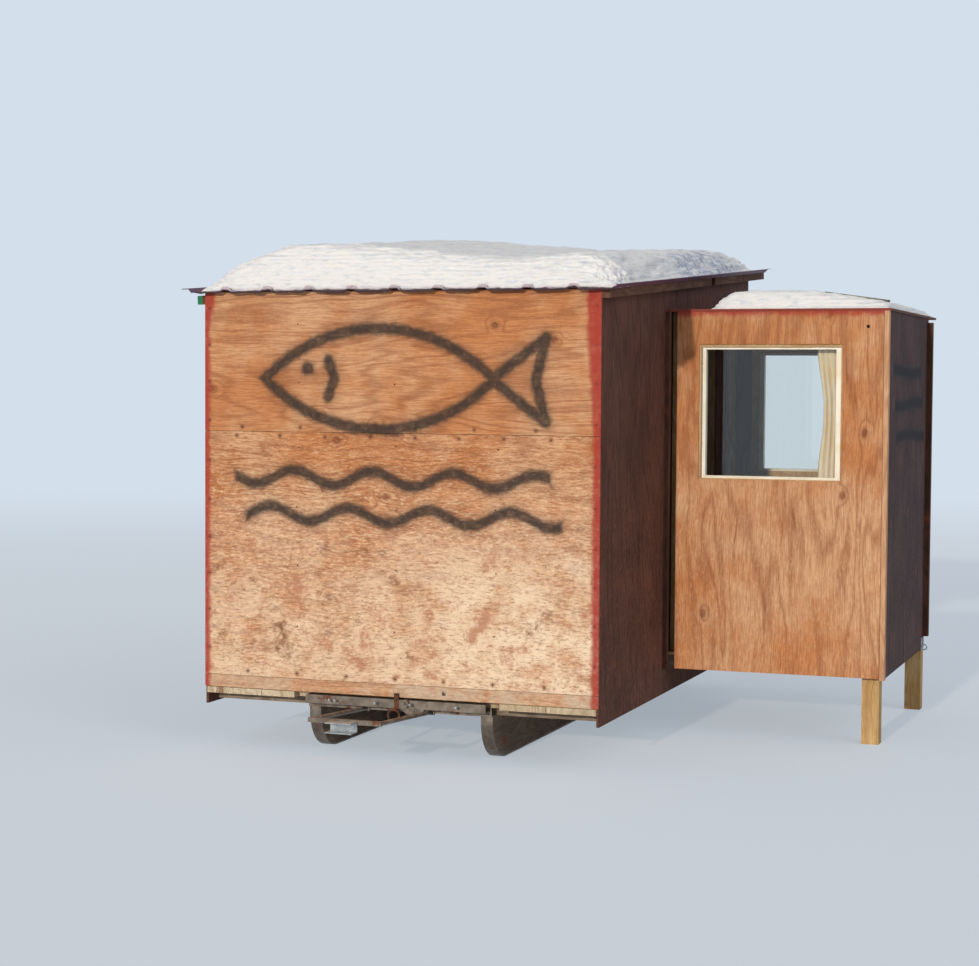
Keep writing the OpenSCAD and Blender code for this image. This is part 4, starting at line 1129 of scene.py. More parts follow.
@dataclass(frozen=True)
class CurtainCloth(Finish):
    """Light cotton curtain cloth in a plain weave, sunned to a warm cream.

    Real threads are finer than a pixel, so a crossing is drawn every 2.4 mm.
    """

    thread_mm: float = 2.4

    def shade(self, tree: Tree) -> Socket:
        """Thread crossings from the piece's own map, painted shade deeper in the folds, and light that
        shines through.

        Args:
            tree: the node tree.

        Returns:
            The surface's shader.
        """
        weave = add(tree, "UVMap", {"uv_map": "weave"})
        split = add(tree, "SeparateXYZ", None, (weave,)).node.outputs
        threads = []
        for axis in (0, 1):
            turn = add(tree, "Math", TIMES, (split[axis], 2 * math.pi / (self.thread_mm * MM)))
            threads.append(add(tree, "Math", SINE, (turn,)))
        cross, *others = threads
        for other in others:
            cross = add(tree, "Math", TIMES, (cross, other))
        tone = add(tree, "TexNoise", None, {"Vector": weave, "Scale": scale_of(200), "Detail": 3.0})
        colour = add(tree, "Mix", COLOURS, {
            SHARE: add(tree, "MapRange", EASED, (tone, 0.35, 0.65)), FIRST: linear("#fff4da"),
            SECOND: linear("#fbe5ba"),
        }, MIXED)
        colour = add(tree, "Mix", COLOURS, {
            SHARE: add(tree, "MapRange", EASED, (cross, -1.0, 1.0, 0.06, 0.0)), FIRST: colour,
            SECOND: linear("#b89a62"),
        }, MIXED)
        lo, hi = HutPlaces.from_frame().box("curtain")
        depth = add(tree, "SeparateXYZ", None, (self.hut_place(tree),), out="Y")
        # Painted shade: the folds' valleys, deeper behind the cloth's middle, are drawn darker brown.
        painted_fold_shade = add(tree, "MapRange", EASED, (depth, (lo.y + hi.y) / 2, hi.y - 0.003, 0.0, 0.55))
        colour = add(tree, "Mix", COLOURS, {
            SHARE: painted_fold_shade, FIRST: colour, SECOND: linear("#b98d4c")}, MIXED)
        normal = add(tree, "Bump", None, {"Strength": 0.5, "Distance": 0.4 * MM, "Height": cross})
        cloth = add(tree, "BsdfPrincipled", None, {
            "Base Color": colour, "Roughness": 0.9, "Specular IOR Level": 0.2,
            "Sheen Weight": 0.25, "Sheen Roughness": 0.5, "Normal": normal})
        through = add(tree, "BsdfTranslucent", None, {"Color": colour, "Normal": normal})
        return add(tree, "MixShader", None, (0.08, cloth, through))


@dataclass(frozen=True)
class SettledSnow(Finish):
    """Wind-packed snow: grains of 3 to 8 mm, matt, in thin level layers, with painted blue shade in its
    hollows.

    Over the eave it is thin enough on the ribs' ends for the coated steel to tint it. Above the lip's foot a
    grey-pink band is painted shade of the lip's rounded underside, and its lowest centimetre is painted
    near-black plum as the shade under the eave. Each pair is the place where a tint fades out and the place
    where it is full: y for the lip, the distance from a rib's middle for across and mouth, and the height
    over the roof plane for up.
    """

    first_rib: float = -2.156
    rib_pitch: float = 0.2254
    layer_pitch: float = 0.019
    layer_wander: float = 0.05
    lip_y: tuple[float, float] = (-0.016, -0.03)
    thin_across: tuple[float, float] = (0.036, 0.014)
    thin_up: tuple[float, float] = (0.048, 0.026)
    ragged: float = 0.004
    mouth: tuple[float, float] = (0.034, 0.016)
    eave_shade_lift: float = 0.004
    shaded_up: tuple[float, float] = (0.034, 0.012)
    eave_shade_up: tuple[float, float] = (0.013, 0.006)
    flank_shade_ends: tuple[tuple[int, float, float], ...] = (
        (1, 1.15, 1.45), (1, 2.75, 2.3), (2, 1.9, 2.0), (0, -0.16, -0.02), (0, 0.3, 0.2))

    def shade(self, tree: Tree) -> Socket:
        """White with a crumbly bump and soft light under the skin.

        Args:
            tree: the node tree.

        Returns:
            The surface's shader.
        """
        place = self.hut_place(tree)
        axes = add(tree, "SeparateXYZ", None, (place,)).node.outputs
        places = HutPlaces.from_frame()
        rise = add(tree, "Math", TIMES, (axes[1], places.slope))
        level = axes[2]
        for part in (rise, places.eave_z):
            level = add(tree, "Math", MINUS, (level, part))
        grain = add(tree, "TexNoise", None, {
            "Vector": place, "Scale": scale_of(6.25), "Detail": 4.0, "Roughness": 0.7})
        flat = add(tree, "Mapping", None, {"Vector": place, "Scale": (0.45, 0.45, 1.6)})
        crumbs = add(tree, "TexNoise", None, {
            "Vector": flat, "Scale": scale_of(29.41), "Detail": 7.0, "Roughness": 0.68})
        wander = add(tree, "TexNoise", None, {"Vector": place, "Scale": scale_of(476.2), "Detail": 3.0})
        layer = add(tree, "Math", PLUS, (level, add(tree, "Math", TIMES, (wander, self.layer_wander))))
        wave = add(tree, "Math", SINE, (add(tree, "Math", TIMES, (layer, 2 * math.pi / self.layer_pitch)),))
        # Painted shade: the hollows between crumbs are drawn blue.
        colour = add(tree, "Mix", COLOURS, {
            SHARE: add(tree, "MapRange", EASED, (crumbs, 0.5, 0.3, 0.0, 0.8)), FIRST: linear("#fcfcfb"),
            SECOND: linear("#dbe5f1"),
        }, MIXED)
        # Wind-crust layers drawn bluish-grey only in the hollows: partly layered snow, partly painted shade.
        crust = add(tree, "Math", TIMES, (
            add(tree, "MapRange", EASED, (wave, 0.3, 1.0)),
            add(tree, "MapRange", EASED, (crumbs, 0.56, 0.4, 0.0, 0.45)),
        ))
        colour = add(tree, "Mix", COLOURS, {
            SHARE: crust, FIRST: colour, SECOND: linear("#d3dce8")}, MIXED)
        # Painted shade: blue in the pits of the right flank.
        colour = add(tree, "Mix", COLOURS, {
            SHARE: self.painted_flank_shade(tree, axes, grain, crumbs), FIRST: colour, SECOND: linear("#8fa2c4"),
        }, MIXED)
        rib = add(tree, "Math", FOLDED, (
            add(tree, "Math", MINUS, (axes[0], self.first_rib)), self.rib_pitch / 2))
        front = add(tree, "MapRange", EASED, (axes[1], *self.lip_y))
        thin = add(tree, "MapRange", EASED, (rib, *self.thin_across))
        for factor in (
            add(tree, "MapRange", EASED, (level, *self.thin_up)),
            front,
            add(tree, "MapRange", EASED, (grain, 0.35, 0.65, 0.25, 0.75)),
        ):
            thin = add(tree, "Math", TIMES, (thin, factor))
        colour = add(tree, "Mix", COLOURS, {
            SHARE: thin, FIRST: colour, SECOND: linear("#ab8493")}, MIXED)
        ragged = add(tree, "MapRange", EASED, (crumbs, 0.3, 0.7, -self.ragged, self.ragged))
        above = level
        for part in (add(tree, "MapRange", EASED, (rib, *self.mouth, 0.0, self.eave_shade_lift)), ragged):
            above = add(tree, "Math", MINUS, (above, part))
        # Painted shade of the lip's rounded underside, grey-pink.
        shaded = add(tree, "Math", TIMES, (
            front, add(tree, "MapRange", EASED, (above, *self.shaded_up, 0.0, 0.5))))
        colour = add(tree, "Mix", COLOURS, {
            SHARE: shaded, FIRST: colour, SECOND: linear("#b7a8b4")}, MIXED)
        # Painted shade under the eave: the lip's lowest centimetre is drawn near-black plum.
        painted_eave_shade = add(tree, "Math", TIMES, (
            front, add(tree, "MapRange", EASED, (above, *self.eave_shade_up, 0.0, 0.94))))
        colour = add(tree, "Mix", COLOURS, {
            SHARE: painted_eave_shade, FIRST: colour, SECOND: linear("#42282f")}, MIXED)
        height = add(tree, "Math", TIMES, (grain, 0.35))
        for part in (crumbs, add(tree, "Math", TIMES, (wave, 0.1))):
            height = add(tree, "Math", PLUS, (height, part))
        normal = add(tree, "Bump", None, {"Strength": 0.95, "Distance": 12 * MM, "Height": height})
        return add(tree, "BsdfPrincipled", None, {
            "Base Color": colour, "Roughness": 0.75, "Specular IOR Level": 0.25, "IOR": 1.31,
            "Subsurface Weight": 0.25, "Subsurface Radius": (0.02, 0.025, 0.035),
            "Subsurface Scale": 0.5, "Normal": normal})

    def painted_flank_shade(self, tree: Tree, axes: Sockets, grain: Socket, crumbs: Socket) -> Socket:
        """Painted blue shade in pits on the main roof's right flank, half way along the verge.

        Each end of the patch is an axis, the place where it fades out and the place where it is full.

        Args:
            tree: the node tree.
            axes: x, y and z of the hut place.
            grain: noise of the snow's grains.
            crumbs: noise of its crumbs.

        Returns:
            The painted shade's share of the colour.
        """
        pits = add(tree, "Math", PLUS, (add(tree, "Math", TIMES, (grain, 0.6)), crumbs))
        ends = [add(tree, "MapRange", EASED, (axes[axis], *reach)) for axis, *reach in self.flank_shade_ends]
        share, *others = (*ends, add(tree, "MapRange", EASED, (pits, 0.72, 0.9, 0.7, 0.0)))
        for other in others:
            share = add(tree, "Math", TIMES, (share, other))
        return share


@dataclass(frozen=True)
class PaintedHoleShade(Finish):
    """Painted shade standing for the inside of a hole bored in a sheet, where hardly any light comes back.
    """

    def shade(self, tree: Tree) -> Socket:
        """Near-black painted shade, a little warmer to one side of a fine noise.

        Args:
            tree: the node tree.

        Returns:
            The surface's shader.
        """
        noise = add(tree, "TexNoise", None, {
            "Vector": self.hut_place(tree), "Scale": scale_of(3.333), "Detail": 2.0})
        colour = add(tree, "Mix", COLOURS, {
            SHARE: noise, FIRST: linear("#1c1210"), SECOND: linear("#2d1d17")}, MIXED)
        return add(tree, "BsdfPrincipled", None, {"Base Color": colour, "Roughness": 0.95})


@dataclass(frozen=True)
class StageFloor(Finish):
    """Plain pale studio floor that runs into the background with distance."""

    backdrop: str = "#d3dfeb"
    near: float = 7.0
    far: float = 26.0
    glow: float = 0.52

    def shade(self, tree: Tree) -> Socket:
        """Matt and even under the hut; what the eye sees is lifted towards the background's colour.

        Args:
            tree: the node tree.

        Returns:
            The surface's shader.
        """
        seen = seen_share(tree)
        place = add(tree, "TexCoord", out="Object")
        away = add(tree, "VectorMath", {"operation": "LENGTH"}, (place,), out="Value")
        share = add(tree, "Math", TIMES, (
            seen, add(tree, "MapRange", EASED, (away, self.near, self.far, self.glow, 1.0))))
        matt = add(tree, "BsdfDiffuse", None, {"Color": linear("#e9ecef")})
        lit = add(tree, "Emission", None, {"Color": linear(self.backdrop), "Strength": 1.0})
        return add(tree, "MixShader", None, (share, matt, lit))


def seen_share(tree: Tree) -> Socket:
    """1 for rays that show a surface to the eye, directly, in a gloss or through glass, and 0 for light.

    Args:
        tree: the node tree of a material or of the world.

    Returns:
        The share.
    """
    path = add(tree, "LightPath").node.outputs
    seen = add(tree, "Math", MOST, (path["Is Camera Ray"], path["Is Glossy Ray"]))
    return add(tree, "Math", MOST, (seen, path["Is Transmission Ray"]))


SHEET = dict(pale="#daab82", warm="#ca8856", dark="#8f5232", plies=True)
# The side and back walls' palette is darker than the front's: partly a red-brown stain and partly painted
# shade.
STAIN_AND_SHADE = dict(pale="#71483b", warm="#603a2e", dark="#331c17", plies=True)

FRONT_UPPER = WeatheredPly(
    "weathered_plywood_upper", "ply_front", **SHEET, lay=Lay.FRONT_LYING, seed=1.0, side_stripes=True,
    motif=FishMotif(), nails=FRONT_NAILS, speckle=0.22, knot_share=0.35)
FRONT_LOWER = WeatheredPly(
    "weathered_plywood_lower", "ply_front", **SHEET, lay=Lay.FRONT_LYING, seed=2.0, side_stripes=True,
    motif=FishMotif(), nails=FRONT_NAILS, bleach_share=0.85, stain_share=1.0, speckle=0.62, knot_share=0.4)
FRONT_STRIP = WeatheredPly(
    "weathered_plywood_strip", "ply_front", **SHEET, lay=Lay.FRONT_LYING, seed=3.0, side_stripes=True,
    bleach="#c9b198", bleach_share=0.9, speckle=0.35, stain_share=0.5, knot_share=0.2)
ANNEX_FRONT = WeatheredPly(
    "weathered_plywood_annex", "ply_front", **SHEET, lay=Lay.FRONT_STANDING, seed=4.0, streak_share=0.7,
    top_band=True, speckle=0.18, ring_count=12.0, fibre_mm=5.0, knot_share=0.12)
CORNER_BOARD = Wood(
    "planed_corner_board", "ply_front", "#ddb38f", "#d0a078", "#a4704a", Lay.FRONT_STANDING, seed=5.0)
SIDE_PLY = WeatheredPly(
    "stained_and_shade_darkened_plywood_side", "ply_dark", **STAIN_AND_SHADE, lay=Lay.SIDE_STANDING, seed=6.0, streak_share=0.7,
    speckle=0.08)
# The annex side's plywood is darker still: partly stain and partly painted shade.
ANNEX_SIDE = WeatheredPly(
    "stained_and_shade_darkened_plywood_annex_side", "ply_dark", "#5f4241", "#4a3233", "#241a1c", Lay.SIDE_STANDING, seed=22.0,
    plies=True, streak_share=0.8, speckle=0.08, motif_colour="#17151a",
    motif=Waves(along=1, middle=1.84, half=0.46, level_axis=2, levels=(1.60, 1.43, 1.26), height=0.010,
                length=1.10, stroke=0.055))
BACK_PLY = WeatheredPly(
    "stained_and_shade_darkened_plywood_back", "ply_dark", **STAIN_AND_SHADE, lay=Lay.FRONT_STANDING, seed=7.0, streak_share=0.7,
    speckle=0.08)
DECK_PLY = BattenWood(
    "plywood_roof_deck", "ply_dark", "#86604a", "#6f4434", "#432720", Lay.FLAT_WIDE, seed=8.0, plies=True,
    end_paint="#8e4338", paint_depth=1.19, paint_x=5.0)
DARK_BATTEN = Wood(
    "stained_batten", "ply_dark", "#66412f", "#523224", "#331f17", Lay.SIDE_STANDING, seed=9.0)
STUD_WOOD = Wood("sawn_spruce_stud", "timber", "#d9bd8f", "#c8a26f", "#a67c4b", Lay.SIDE_STANDING, seed=10.0)
PLATE_WOOD = Wood("sawn_spruce_plate", "timber", "#d9bd8f", "#c8a26f", "#a67c4b", Lay.SIDE_LYING, seed=11.0)
PURLIN_WOOD = Wood("sawn_spruce_purlin", "timber", "#cdb084", "#b89061", "#8f6840", Lay.FLAT_WIDE, seed=12.0)
POST_WOOD = Wood("sawn_pine_post", "timber", "#dabc88", "#c49c66", "#9a7340", Lay.FRONT_STANDING, seed=13.0)
RIGHT_BATTEN = Wood(
    "weathered_verge_batten", "timber", "#7d5a45", "#674634", "#412c22", Lay.SIDE_LYING, seed=14.0)
LEFT_BATTEN = BattenWood(
    "painted_end_verge_batten", "timber", "#7d5a45", "#674634", "#412c22", Lay.SIDE_LYING, seed=15.0)
PLANK_WOOD = Wood(
    "sawn_floor_plank", "grey_timber", "#dccdb0", "#c4b192", "#8d7a62", Lay.FLAT_LONG, seed=16.0)
JOIST_WOOD = Wood("greyed_joist", "grey_timber", "#97897a", "#7d6c5a", "#53453a", Lay.FLAT_WIDE, seed=17.0)
# Runner wood: greyed by weather, and darkened further as painted shade.
RUNNER_WOOD = Wood(
    "greyed_and_shade_darkened_runner", "grey_timber", "#8f8173", "#77675a", "#4c4038", Lay.SIDE_LYING, seed=18.0)
LATH_WOOD = Wood("greyed_lath", "grey_timber", "#8b8669", "#716d52", "#4b4838", Lay.FLAT_WIDE, seed=19.0)
ANNEX_FLOOR = Wood(
    "plywood_floor", "grey_timber", "#b79a72", "#9c7d58", "#6b523a", Lay.FLAT_WIDE, seed=20.0, plies=True)
DOOR_WOOD = Wood(
    "stained_door_board", "ply_dark", "#7d5245", "#6c4236", "#42271f", Lay.FRONT_STANDING, seed=21.0)
ROOF_STEEL = Metal(
    "plum_coated_steel", "roof_steel", "#6b3d5b", "#593250", metallic=0.0, roughness=0.55, rust_share=0.0,
    patch_size=0.5)
OLD_STEEL = Metal(
    "weathered_steel", "old_steel", "#857b70", "#665c52", roughness=0.5, rust_share=0.45, metallic=0.8)
DARK_STEEL = Metal("blackened_steel", "old_steel", "#4a4744", "#35322f", roughness=0.5, rust_share=0.3)
ZINC = Metal(
    "hot_dip_galvanised_steel", "zinc_steel", "#b6babb", "#989da0", roughness=0.38, rust_share=0.05,
    patch_size=0.012, spangle=True)
RUSTY = Metal(
    "rusted_forged_iron", "rusty_steel", "#5a4030", "#3e2a20", roughness=0.7, rust_share=0.9, metallic=0.7)
NAIL_STEEL = Metal("dull_nail_steel", "old_steel", "#5f5148", "#463a32", roughness=0.5, rust_share=0.5)
PAINT = FramePaint("cream_frame_paint", "frame_paint")
GLASS = WindowGlass("float_glass", "glass")
CLOTH = CurtainCloth("cream_cotton", "curtain_cloth")
SNOW = SettledSnow("wind_packed_snow", "snow")
HOLE_SHADE = PaintedHoleShade("painted_hole_shade", "ply_dark")
FLOOR = StageFloor("studio_floor", "")


def risen(way: np.ndarray, reach: float, power: float) -> np.ndarray:
    """Rise from 0 towards 1 with the way from an edge, like one minus a falling exponential.

    Args:
        way: distances from the edge.
        reach: the distance at which the rise has come to 63 %.
        power: 1 rises at once, and more starts flatter.

    Returns:
        A share of the full height for each distance.
    """
    return 1 - np.exp(-((way / reach) ** power))


def domes(
    centres: np.ndarray, outwards: tuple[float, float, float], radius: float, height: float, sides: int = 8
) -> tuple[np.ndarray, list]:
    """Low domes such as nail and bolt heads, each one rim, one inner ring and a flat top.

    The rings of each dome are a circle at the surface and one of 0.7 of its radius at the full height.

    Args:
        centres: a place on the surface for each dome.
        outwards: the way that the surface faces, along one axis.
        radius: the head's radius.
        height: how far the head stands out.
        sides: points on a ring.

    Returns:
        Points and faces.
    """
    out = np.array(outwards, float)
    side = np.roll(out, 1)
    up = np.cross(out, side)
    angle = np.arange(sides) * 2 * np.pi / sides
    circle = np.cos(angle)[:, None] * side + np.sin(angle)[:, None] * up
    rings = np.concatenate([circle * radius, circle * radius * 0.7 + out * height])
    points = (centres[:, None, :] + rings[None]).reshape(-1, 3)
    faces: list = []
    for k in range(len(centres)):
        base = k * 2 * sides
        faces += (grid_quads(2, sides, wrap=True) + base).tolist()
        faces.append([base + sides + i for i in range(sides)])
        faces.append([base + i for i in reversed(range(sides))])
    return points, faces


def gather(parts: list[tuple[np.ndarray, list]]) -> tuple[np.ndarray, list]:
    """Join several sets of points and faces into one.

    Args:
        parts: points and faces of each set.

    Returns:
        All points and all faces.
    """
    points, faces, count = [], [], 0
    for some_points, some_faces in parts:
        points.append(some_points)
        faces += [[count + i for i in face] for face in some_faces]
        count += len(some_points)
    return np.concatenate(points), faces


def bars(lows: np.ndarray, highs: np.ndarray) -> tuple[np.ndarray, list]:
    """Boxes from their lowest to their highest corners: each corner takes low or high along each axis.

    Args:
        lows: lowest corner of each box.
        highs: highest corner of each box.

    Returns:
        Points and faces.
    """
    corner = np.array([(i & 1, i >> 1 & 1, i >> 2) for i in range(8)])
    points = (lows[:, None] * (1 - corner) + highs[:, None] * corner).reshape(-1, 3)
    sides = np.array([(0, 2, 3, 1), (4, 5, 7, 6), (0, 1, 5, 4), (2, 6, 7, 3), (0, 4, 6, 2), (1, 3, 7, 5)])
    faces = (np.arange(len(lows))[:, None, None] * 8 + sides).reshape(-1, 4)
    return points, faces.tolist()


def soften(piece: bpy.types.Object, width: float, segments: int = 2) -> None:
    """Round a piece's sharp edges.

    Args:
        piece: the mesh object.
        width: how far a rounding reaches from the edge.
        segments: faces across a rounding.
    """
    bevel = piece.modifiers.new("rounded_edges", "BEVEL")
    bevel.width = width
    bevel.segments = segments
    bevel.limit_method = "ANGLE"


def edge_rows(
    start: float, end: float, reach: tuple[float, float], counts: tuple[int, int, int]
) -> np.ndarray:
    """Places from start to end that stand closer together near both ends.

    Within reach of an end, the distance from it grows as the 1.6th power of an even count. Between the two
    reaches the steps are even.

    Args:
        start: the first place.
        end: the last place.
        reach: how far the close rows go from the start and from the end.
        counts: rows near the start, between, and near the end.

    Returns:
        The places, in order.
    """
    first = start + reach[0] * np.linspace(0, 1, counts[0]) ** 1.6
    last = end - reach[1] * np.linspace(1, 0, counts[2]) ** 1.6
    middle = np.linspace(first[-1], last[0], counts[1] + 2)[1:-1]
    return np.concatenate([first, middle, last])


def crumbled(
    points: np.ndarray, lumps: tuple[tuple[float, float], ...], calm: np.ndarray, seed: int
) -> np.ndarray:
    """Push a grid's points along its normals by random lumps.

    The normal is the cross product of the grid's differences along and up. A layer of lumps is a rough
    field counted in grid steps, so a steep face that has many rows gets lumps as fine as they are.

    Args:
        points: places on the grid, as rows, columns and axes.
        lumps: each layer's height and its cell in grid steps.
        calm: a share of the push for each point.
        seed: the random seed of the first layer.

    Returns:
        The moved points.
    """
    normal = np.cross(np.gradient(points, axis=1), np.gradient(points, axis=0))
    normal = normal / np.linalg.norm(normal, axis=2, keepdims=True)
    rows, columns = np.arange(points.shape[0]), np.arange(points.shape[1])
    push = sum(height * rough_field(rows, columns, cell, seed + k) for k, (height, cell) in enumerate(lumps))
    return points + normal * (push * calm)[..., None]


def snow_shell(upper: np.ndarray, under: np.ndarray) -> tuple[np.ndarray, np.ndarray]:
    """Close a grid of heights with an underside of as many points that it meets along its border.

    Args:
        upper: the upper points, as rows, columns and axes.
        under: the height of the underside below each point.

    Returns:
        Points and faces.
    """
    lower = upper.copy()
    lower[..., 2] = under
    for border in (np.s_[0, :], np.s_[-1, :], np.s_[:, 0], np.s_[:, -1]):
        upper[border] = lower[border]
    quads = grid_quads(*under.shape)
    faces = np.concatenate([quads, quads[:, ::-1] + under.size])
    return np.concatenate([upper.reshape(-1, 3), lower.reshape(-1, 3)]), faces


@dataclass
class MainHut:
    """The main hut's walls, framing and floor, with the nails that hold the sheets.

    stud_nails are the lowest height of a row over a stud, its end and its pitch.
    """

    places: HutPlaces
    nail_radius: float = 0.0042
    nail_height: float = 0.0012
    edge_inset: float = 0.024
    edge_pitch: float = 0.27
    front_studs: int = 3
    stud_nails: tuple[float, float, float] = (0.32, 1.85, 0.30)
    hand_shake: float = 0.006
    seed: int = 5

    def build(self, frame: dict) -> None:
        """Dress the walls and drive the nails.
        """
        FRONT_UPPER.dress(frame, "front_upper_sheet")
        FRONT_LOWER.dress(frame, "front_lower_sheet")
        FRONT_STRIP.dress(frame, "front_bottom_strip")
        SIDE_PLY.dress(frame, "left_wall", "right_wall_front", "right_wall_back", "right_wall_over_doorway",
                       "doorway_threshold")
        BACK_PLY.dress(frame, "back_wall_left", "back_wall_right", "back_wall_over_door")
        STUD_WOOD.dress(frame, "wall_studs")
        PLATE_WOOD.dress(frame, "wall_plates")
        PLANK_WOOD.dress(frame, "floor_planks")
        JOIST_WOOD.dress(frame, "floor_joists")
        self.front_nails()
        self.wall_nails()

    def heads(self, spots: np.ndarray, outwards: tuple[float, float, float]) -> tuple[np.ndarray, list]:
        """Nail heads at places on a wall."""
        return domes(spots, outwards, self.nail_radius, self.nail_height)

    def front_nails(self) -> None:
        """Nail heads along the front sheets' edges, where the stains are, and over the studs."""
        rows = [line.spots(depth_axis=1, depth=0.0) for line in FRONT_NAILS]
        lower, _ = self.places.box("front_lower_sheet")
        rng = np.random.default_rng(self.seed)
        heights = np.arange(*self.stud_nails)
        for x in np.linspace(lower.x / 4, lower.x * 3 / 4, self.front_studs):
            spots = np.column_stack([np.full(len(heights), x), np.zeros(len(heights)), heights])
            rows.append(spots + rng.normal(0, self.hand_shake, spots.shape) * (1, 0, 1))
        points, faces = self.heads(np.concatenate(rows), (0, -1, 0))
        merge_doubles(new_piece("front_nails", self.places.part(points), faces, NAIL_STEEL), 1e-6)

    def edge_lines(
        self, low: tuple[float, float], high: tuple[float, float], axes: tuple[int, int]
    ) -> list[NailLine]:
        """Rows of nails just inside the four edges of a sheet.

        Args:
            low: the sheet's lowest place on the two axes.
            high: its highest place on them.
            axes: numbers of the two axes that lie in the sheet.

        Returns:
            One row for each edge.
        """
        inset = self.edge_inset
        lines = []
        for a, b in ((0, 1), (1, 0)):
            for level in (low[b] + inset, high[b] - inset):
                first, last = low[a] + 2 * inset, high[a] - 2 * inset
                lines.append(NailLine(axes[a], first, last, axes[b], level, self.edge_pitch))
        return lines

    def wall_nails(self) -> None:
        """Nail heads round the edges of the side, back and annex sheets."""
        parts = []
        for node, depth_axis, outwards, top_drop in (
                ("left_wall", 0, (-1, 0, 0), 0.24), ("right_wall_front", 0, (1, 0, 0), 0.24),
                ("right_wall_back", 0, (1, 0, 0), 0.24), ("back_wall_left", 1, (0, 1, 0), 0.03),
                ("back_wall_right", 1, (0, 1, 0), 0.03), ("annex_side_panel", 0, (1, 0, 0), 0.0)):
            lo, hi = self.places.box(node)
            axes = (1, 2) if depth_axis == 0 else (0, 2)
            depth = (hi if sum(outwards) > 0 else lo)[depth_axis]
            low = (lo[axes[0]], lo.z)
            high = (hi[axes[0]], hi.z - top_drop)
            for line in self.edge_lines(low, high, axes):
                parts.append(self.heads(line.spots(depth_axis, depth), outwards))
        points, faces = gather(parts)
        merge_doubles(new_piece("wall_nails", self.places.part(points), faces, NAIL_STEEL), 1e-6)


